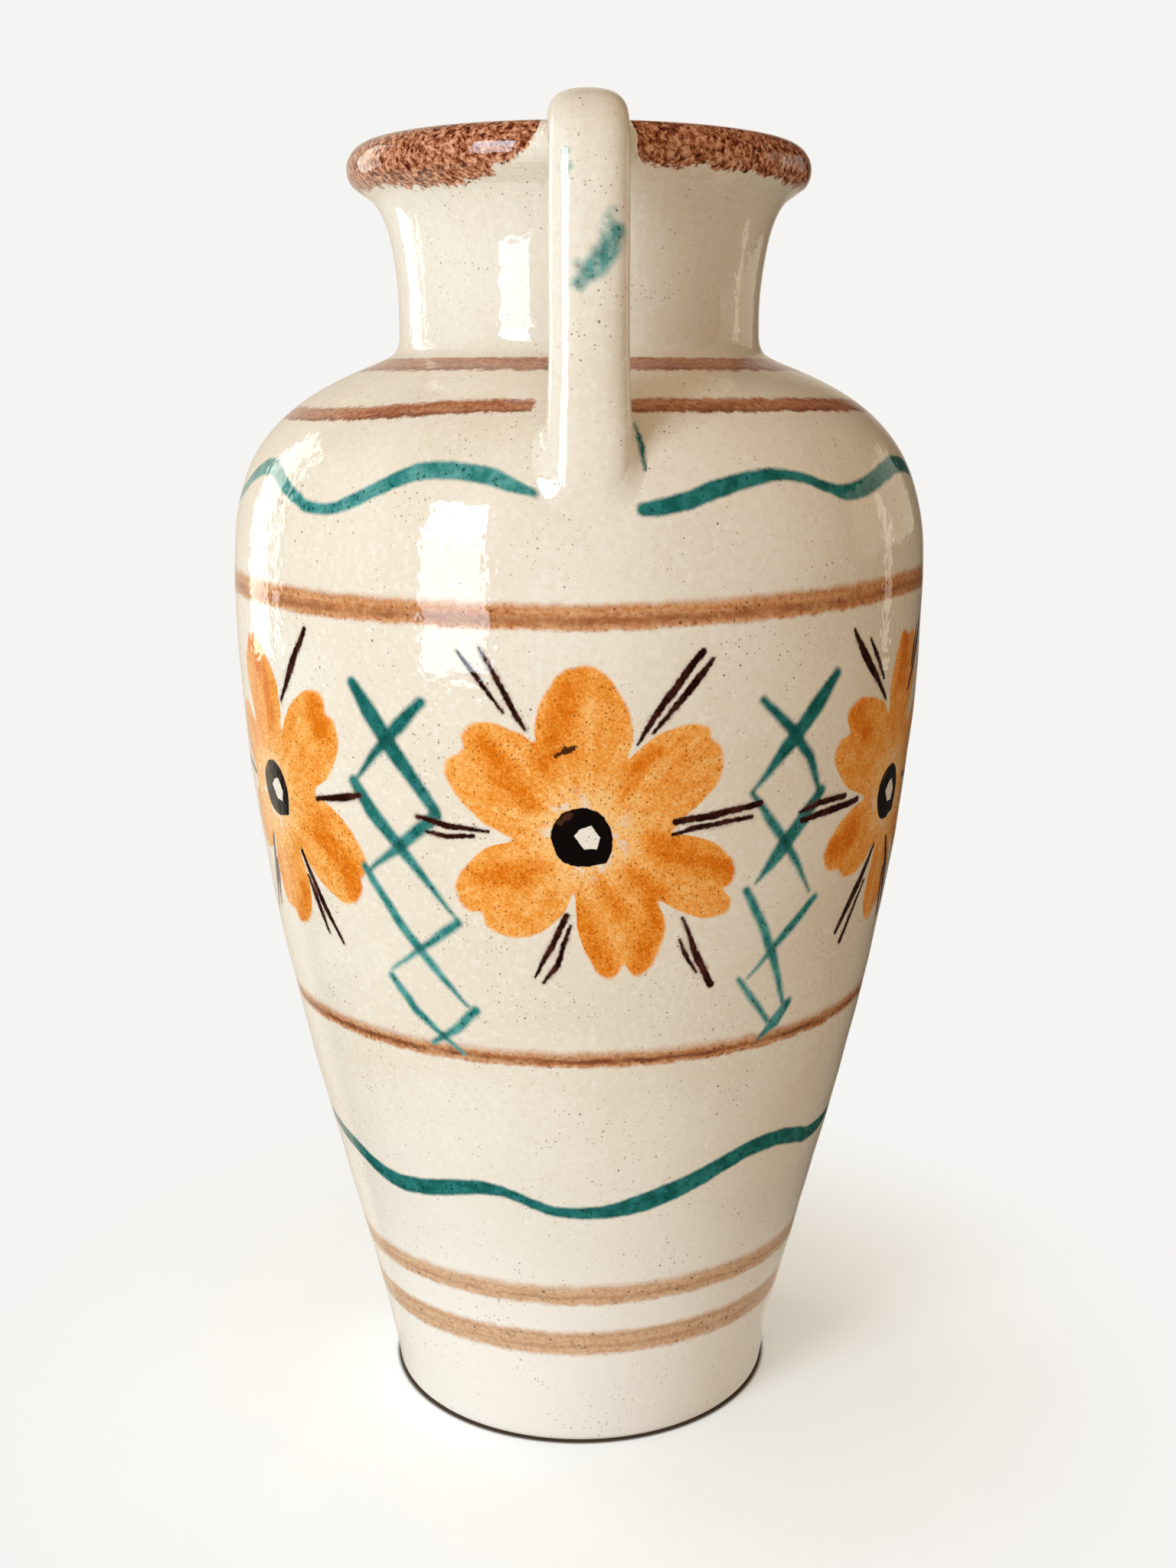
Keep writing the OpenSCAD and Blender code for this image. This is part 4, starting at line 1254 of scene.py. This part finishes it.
def neck():
    """The flared collar, plain below and sponged like the rim near its top."""
    low, high = skin_end["neck_slip"], skin_end["neck"]
    inner = bezier(flare_curve, np.linspace(1, 0, NECK_INSIDE_ROWS + 1)) - (NECK_WALL, 0)
    inner = np.concatenate([inner, line(inner[-1], (throat_r, neck_foot), STRAIGHT_ROWS)[1:]])
    inside = turn(inner, finger_marks)
    heights = skin_profile[low:high + 1, 1]
    zones = np.where(heights[:-1] > NECK_PLAIN_TOP, 1, 0)
    runs = [skin_run(low, high, zones)]
    runs += joined(skin[high], seam_vee(flare_in, neck_flare_r, rim_z), inside[0], 0)
    runs.append(Run(inside, 0))
    runs += joined(inside[-1], seam_vee(throat_r, neck_seat_r, neck_foot)[::-1], skin[low], 0)
    return make_piece("neck_glazed", runs, [PLAIN_GLAZE, RIM_GLAZE], closed=True)


def rim():
    """The rolled lip, seated on the neck."""
    low, high = skin_end["rim_slip"], skin_end["rim_inside"]
    runs = [skin_run(low, high)]
    runs += joined(skin[high], seam_vee(flare_in, neck_flare_r, rim_foot[1])[::-1], skin[low], 0)
    return make_piece("rim_glazed", runs, [RIM_GLAZE], closed=True)


# Handles

leg_r = handle_face - HANDLE_T / 2
bend_c = np.array([leg_r - HANDLE_BEND, handle_top - HANDLE_T / 2 - HANDLE_BEND])
lead = bend_c - lip_c
lead_angle = math.atan2(lead[1], lead[0]) + math.asin(HANDLE_BEND / np.linalg.norm(lead))
shoulder_line = bezier(shoulder_curve, np.linspace(0, 1, LANDING_STEPS + 1))
landing_z = float(np.interp(-(leg_r + HANDLE_T / 2), -shoulder_line[:, 0], shoulder_line[:, 1]))
toe_z = landing_z + HANDLE_TOE
lead_end = math.sqrt(lead @ lead - HANDLE_BEND ** 2)
crest_s = lead_end + HANDLE_BEND * lead_angle
bend_end = lead_end + HANDLE_BEND * (lead_angle + math.pi / 2)
leg_end = bend_end + bend_c[1] - toe_z
toe_end = leg_end + TOE_BEND * TOE_ANGLE
leg_middle = (bend_end + leg_end) / 2
buried_end = toe_end + WALL_T + HANDLE_T
side_angle = np.linspace(0, 2 * math.pi, HANDLE_SIDES, endpoint=False)


def smooth_step(x):
    u = np.clip(x, 0, 1)
    return u * u * (3 - 2 * u)


def middle_line(s):
    """Radius and height of the handle's middle line at length s, and its direction there."""
    down = -math.pi / 2
    turn_bend = lead_angle - (s - lead_end) / HANDLE_BEND
    turn_toe = np.maximum(down - TOE_ANGLE, down - (s - leg_end) / TOE_BEND)
    angle = np.select([s < lead_end, s < bend_end, s < leg_end], [lead_angle, turn_bend, down], turn_toe)
    heading = np.stack([np.cos(angle), np.sin(angle)], -1)
    outward = np.stack([-np.sin(angle), np.cos(angle)], -1)
    s = s[..., None]
    on_lead = lip_c + s * heading
    on_bend = bend_c + HANDLE_BEND * outward
    on_leg = np.concatenate([leg_r + 0 * s, bend_c[1] - (s - bend_end)], -1)
    on_toe = np.array([leg_r - TOE_BEND, toe_z]) + TOE_BEND * outward + np.maximum(0, s - toe_end) * heading
    point = np.select([s < lead_end, s < bend_end, s < leg_end], [on_lead, on_bend, on_leg], on_toe)
    return point, outward


def handle_point(a, q, d, s):
    """Point at angle a round the section, at a share q of it and d outside it, at length s."""
    a, s = np.broadcast_arrays(np.asarray(a, float), np.asarray(s, float))
    half_t = (TIP_T + (HANDLE_T - TIP_T) * smooth_step(s / crest_s)) / 2
    spread = smooth_step((s - leg_middle) / (toe_end - leg_middle))
    half_w = (HANDLE_W + (HANDLE_ROOT_W - HANDLE_W) * spread) / 2
    normal = np.stack([np.cos(a) / half_w, np.sin(a) / half_t], -1)
    normal = normal / np.linalg.norm(normal, axis=-1, keepdims=True)
    full = 2 / HANDLE_FULLNESS
    across = q * half_w * np.sign(np.cos(a)) * np.abs(np.cos(a)) ** full + d * normal[..., 0]
    out = q * half_t * np.sign(np.sin(a)) * np.abs(np.sin(a)) ** full + d * normal[..., 1]
    middle, outward = middle_line(s)
    place = middle + out[..., None] * outward
    return np.stack([across, -place[..., 0], place[..., 1]], -1)


def seat_gap(upper, p):
    """Distance of points from the lip, or from the shoulder."""
    r = np.hypot(p[..., 0], p[..., 1])
    if upper:
        return np.hypot(r - lip_c[0], p[..., 2] - lip_c[1]) - LIP_R
    t = at_height(shoulder_curve, p[..., 2])
    slope = bezier_slope(shoulder_curve, t)
    return (r - bezier(shoulder_curve, t)[..., 0]) * slope[..., 1] / np.linalg.norm(slope, axis=-1)


def seat_s(upper, a, q, d, gap):
    """Length at which lines along the handle come to a gap from their seat."""
    inside = np.full(np.shape(a), 0.0 if upper else buried_end)
    outside = np.full(np.shape(a), leg_middle)
    for _ in range(HALVINGS):
        middle = (inside + outside) / 2
        clear = seat_gap(upper, handle_point(a, q, d, middle)) > gap
        inside, outside = np.where(clear, inside, middle), np.where(clear, middle, outside)
    return outside


def seat_rings(upper, gap, shares):
    """Rings at a gap from the seat, at shares of the handle's section."""
    rings = [handle_point(side_angle, q, 0.0, seat_s(upper, side_angle, q, 0.0, gap)) for q in shares]
    return np.array(rings)


def pulled_handle():
    """A handle swept from the lip to the shoulder, cut to their shapes at its ends."""
    starts = seat_s(True, side_angle, 1.0, 0.0, SLIP_T)
    ends = seat_s(False, side_angle, 1.0, 0.0, SLIP_T)
    share = np.linspace(0, 1, HANDLE_RINGS + 1)[:, None]
    body = handle_point(side_angle[None], 1.0, 0.0, starts * (1 - share) + ends * share)
    first = np.concatenate([seat_rings(True, SLIP_T, (0.0,) + CAP_SHARES), body[:1]])
    last = np.concatenate([body[-1:], seat_rings(False, SLIP_T, CAP_SHARES[::-1] + (0.0,))])
    return [Run(first, first_is_point=True), Run(body), Run(last, last_is_point=True)]


def collar(upper):
    """Slip wiped round a handle's end: a pad under it, and a hollow fillet up its sides."""
    at_lip = (LIP_FILLET, LIP_FILLET_ENDS, LIP_CLIMB)
    at_root = (ROOT_FILLET, ROOT_FILLET_ENDS, ROOT_CLIMB)
    wide, ends, climb = at_lip if upper else at_root
    away = 1 if upper else -1
    spread = wide * np.cos(side_angle) ** 2 + ends * np.sin(side_angle) ** 2
    touch = seat_s(upper, side_angle, 1.0, 0.0, 0.0)
    crown = handle_point(side_angle, 1.0, -TUCK, touch + away * climb)
    crease = handle_point(side_angle, 1.0, 0.0, touch)
    reach = np.array([
        seat_s(upper, side_angle[i:i + 1], 1.0, spread[i], -TUCK)[0] for i in range(HANDLE_SIDES)
    ])
    hem = np.array([handle_point(side_angle[i], 1.0, spread[i], reach[i]) for i in range(HANDLE_SIDES)])
    t = np.linspace(0, 1, FILLET_ROWS + 1)[:, None, None]
    fillet = (1 - t) ** 2 * crown + 2 * t * (1 - t) * crease + t * t * hem
    pad_over = seat_rings(upper, PAD_OVER, (0.0,) + CAP_SHARES + (CORE_SHARE,))
    core = handle_point(side_angle, CORE_SHARE, 0.0, touch + away * climb)[None]
    pad_under = seat_rings(upper, -PAD_UNDER, (1.0,) + CAP_SHARES[::-1] + (0.0,))
    stretches = [
        np.concatenate([pad_over, core]),
        np.concatenate([core, fillet[:1]]),
        fillet,
        np.concatenate([fillet[-1:], pad_under]),
    ]
    if upper:
        stretches = [s[::-1] for s in stretches[::-1]]
    runs = [Run(s) for s in stretches]
    runs[0].first_is_point = True
    runs[-1].last_is_point = True
    return runs


def half_turned(runs):
    """The same runs on the other side of the vase."""
    turned = np.array([-1.0, -1.0, 1.0])
    return [
        Run(r.rings * turned, r.slots, r.normals * turned, r.first_is_point, r.last_is_point) for r in runs
    ]


stand_for(lower_body(), "lower_body")
stand_for(slip_ring("belly_slip_glazed", "belly_slip", belly_in, SHOULDER_GLAZE), "belly_slip_ring")
stand_for(shoulder(), "shoulder")
stand_for(slip_ring("neck_slip_glazed", "neck_slip", throat_r, PLAIN_GLAZE), "neck_slip_ring")
stand_for(neck(), "neck")
stand_for(slip_ring("rim_slip_glazed", "rim_slip", flare_in, RIM_GLAZE), "rim_slip_ring")
stand_for(rim(), "rim")
for side in ("front", "rear"):
    for node, slot, runs in (
        (f"{side}_handle", "cream_glaze", pulled_handle()),
        (f"{side}_handle_upper_slip", "slip", collar(True)),
        (f"{side}_handle_lower_slip", "slip", collar(False)),
    ):
        runs = half_turned(runs) if side == "rear" else runs
        stand_for(make_piece(node + "_glazed", runs, [HANDLE_GLAZE], closed=False), node)


# Stage, light and camera. Lengths here are in metres.

BACKGROUND = (0.913, 0.905, 0.885)
FLOOR_HALF = 4.0
FLOOR_GRAIN = 40.0
FLOOR_TONES = ((0.885, 0.94, 0.98), (0.905, 0.96, 0.995))
# Pale glow that the eye sees over the lit floor, so that it comes near the background
FLOOR_LIFT = 0.2
# Distances from the vase's axis between which the floor takes the background's colour
FLOOR_FADES = (0.05, 0.17)
# Painted shadow on the floor right at the foot: its width, and its colour
CONTACT_SHADE = 0.0013
PAINTED_CONTACT_SHADOW = (0.10, 0.07, 0.048)
# The room in the glaze: its colour, its brightness as a share of the backdrop's, the way to the
# pale backdrop, behind the vase and more to the left, and how near that way it starts and is full
ROOM_COLOUR = (0.70, 0.62, 0.51)
ROOM_SHARE = 0.05
TO_BACKDROP = (-0.35, 1.0, 0.1)
BACKDROP_FADES = (0.75, 0.96)
# Reflections of the floor are measured from the vase's side, this far from its axis. Close by, between
# these distances, they see so much of the lit floor.
VASE_SIDE = 0.06
CLOSE_FADES = (0.12, 0.06)
CLOSE_SHARE = 0.7
# Soft light that the vase stands in: the same all round, from above, and from the front
FILL, FILL_COLOUR = 0.11, (1.0, 0.64, 0.34)
ABOVE, ABOVE_COLOUR = 0.64, (1.0, 0.9, 0.75)
BESIDE, BESIDE_COLOUR = 0.34, (1.0, 0.53, 0.18)
BESIDE_TOWARDS = (-0.1, -0.99, 0.1)
LOBE_FADES = (0.1, 1.0)
# Upright panels: azimuth (0 is the camera's side, and - is to its left), distance, width, heights of
# the lower and the upper edge, radiance and colour
DAYLIGHT = (0.82, 1.0, 1.17)
WARM_LIGHT = (1.0, 0.9, 0.75)
PANELS = {
    "window_low": (-40, 0.9, 0.335, 0.0, 0.36, 6.2, DAYLIGHT),
    "window_high": (-40, 0.9, 0.335, 0.36, 0.70, 10.0, DAYLIGHT),
    "left_strip": (-126, 1.1, 0.31, 0.0, 0.9, 3.0, (1.0, 0.96, 0.85)),
    "left_edge": (-113, 1.1, 0.07, 0.0, 0.9, 3.0, (1.0, 0.98, 0.92)),
    "right_strip": (115, 1.2, 0.1, 0.0, 0.5, 1.2, WARM_LIGHT),
    "right_wall": (119, 1.25, 1.0, 0.2, 0.65, 0.55, WARM_LIGHT),
}
# The photograph's view: where the camera stands, where it looks and how wide it sees
CAMERA_AZIMUTH = math.radians(-1.5)
CAMERA_DISTANCE = 0.4255
CAMERA_HEIGHT = 0.2445
LOOK_RIGHT = math.radians(0.27)
LOOK_DOWN = math.radians(12.67)
LENS = 41.13
SENSOR_WIDTH = 36.0


def at_azimuth(azimuth, distance, height):
    return (distance * math.sin(azimuth), -distance * math.cos(azimuth), height)


def seen_by_eye(s):
    """1 for what the eye sees, also in reflections and through glass, 1 for its own rays, and the
    background's colour for these or the room's for the others."""
    path = s.node("LightPath", {}).outputs
    camera_ray = path["Is Camera Ray"]
    shown = s.fold("MAXIMUM", (camera_ray, path["Is Glossy Ray"], path["Is Transmission Ray"]))
    return shown, camera_ray, s.mix(camera_ray, ROOM_COLOUR, BACKGROUND)


def backdrop_share(s, towards):
    """How much of the pale backdrop a reflection shows in a direction."""
    ahead = s.vector("DOT_PRODUCT", towards, TO_BACKDROP)
    return s.fade(ahead, *BACKDROP_FADES, ROOM_SHARE, 1.0)


def make_floor():
    """A wide pale floor, with a painted shadow right at the foot. Far from the vase it takes the
    background's colour.
    """
    corners = [(-1, -1), (1, -1), (1, 1), (-1, 1)]
    mesh = bpy.data.meshes.new("floor")
    mesh.from_pydata([(x * FLOOR_HALF, y * FLOOR_HALF, 0) for x, y in corners], [], [(0, 1, 2, 3)])
    floor = add_object("floor", mesh)
    s = Shader(bpy.data.materials.new("pale_floor"))
    place = s.node("TexCoord", {}).outputs["Object"]
    grain = s.noise(place, FLOOR_GRAIN, 3.0)
    tone = s.mix(s.fade(grain, 0.3, 0.7), *FLOOR_TONES)
    shown, camera_ray, shown_colour = seen_by_eye(s)
    x, y, _ = s.split(place)
    side = s.math("MINIMUM", s.math("MAXIMUM", x, -VASE_SIDE), VASE_SIDE)
    from_side = s.vector("NORMALIZE", s.combine(s.minus(x, side), y))
    away = s.vector("LENGTH", place)
    close_by = s.fade(away, *CLOSE_FADES, 0.0, CLOSE_SHARE)
    room = s.fold("MAXIMUM", (backdrop_share(s, from_side), close_by, camera_ray))
    # Right at the foot the floor's colour is a painted shadow, and nothing lifts it
    outside = s.fade(away, FOOT_R * MM, FOOT_R * MM + CONTACT_SHADE)
    lit = s.node("BsdfDiffuse", {"Color": s.mix(outside, PAINTED_CONTACT_SHADOW, tone)})
    glow = s.times(shown, room, outside, FLOOR_LIFT)
    lift = s.node("Emission", {"Color": BACKGROUND, "Strength": glow})
    near = s.node("AddShader", {0: lit.outputs[0], 1: lift.outputs[0]})
    far = s.node("Emission", {"Color": shown_colour, "Strength": room})
    afar = s.math("MAXIMUM", s.fade(away, *FLOOR_FADES), s.minus(1.0, camera_ray))
    mixed = s.node("MixShader", {0: s.times(shown, afar), 1: near.outputs[0], 2: far.outputs[0]})
    s.node("OutputMaterial", {"Surface": mixed.outputs[0]})
    mesh.materials.append(s.owner)


def make_world():
    """Soft light on the vase. The eye sees the pale background, and reflections see it behind the vase."""
    s = Shader(bpy.data.worlds.new("studio"))
    towards = s.node("TexCoord", {}).outputs["Generated"]
    above = s.fade(s.split(towards)[2], *LOBE_FADES, 0.0, ABOVE)
    beside = s.fade(s.vector("DOT_PRODUCT", towards, BESIDE_TOWARDS), *LOBE_FADES, 0.0, BESIDE)
    light = s.node("Background", {"Color": FILL_COLOUR, "Strength": FILL}).outputs[0]
    for colour, strength in ((ABOVE_COLOUR, above), (BESIDE_COLOUR, beside)):
        lobe = s.node("Background", {"Color": colour, "Strength": strength}).outputs[0]
        light = s.node("AddShader", {0: light, 1: lobe}).outputs[0]
    shown, camera_ray, shown_colour = seen_by_eye(s)
    backdrop = s.math("MAXIMUM", backdrop_share(s, towards), camera_ray)
    pale = s.node("Background", {"Color": shown_colour, "Strength": backdrop}).outputs[0]
    mixed = s.node("MixShader", {0: shown, 1: light, 2: pale})
    s.node("OutputWorld", {"Surface": mixed.outputs[0]})
    bpy.context.scene.world = s.owner


def make_panel(name, azimuth, distance, width, low, high, radiance, colour):
    """An upright soft panel that faces the vase."""
    a = math.radians(azimuth)
    data = bpy.data.lights.new(name, "AREA")
    data.shape = "RECTANGLE"
    data.size = width
    data.size_y = high - low
    data.energy = radiance * math.pi * width * (high - low)
    data.color = colour
    light = add_object(name, data)
    light.location = at_azimuth(a, distance, (low + high) / 2)
    light.rotation_euler = (math.pi / 2, 0, a)


def make_camera():
    data = bpy.data.cameras.new("camera")
    data.lens = LENS
    data.sensor_width = SENSOR_WIDTH
    data.clip_start = 0.01
    camera = add_object("camera", data)
    camera.location = at_azimuth(CAMERA_AZIMUTH, CAMERA_DISTANCE, CAMERA_HEIGHT)
    camera.rotation_euler = (math.pi / 2 - LOOK_DOWN, 0, CAMERA_AZIMUTH - LOOK_RIGHT)
    bpy.context.scene.camera = camera


make_floor()
make_world()
for panel_name, panel_values in PANELS.items():
    make_panel(panel_name, *panel_values)
make_camera()
bpy.context.scene.view_settings.view_transform = "Standard"
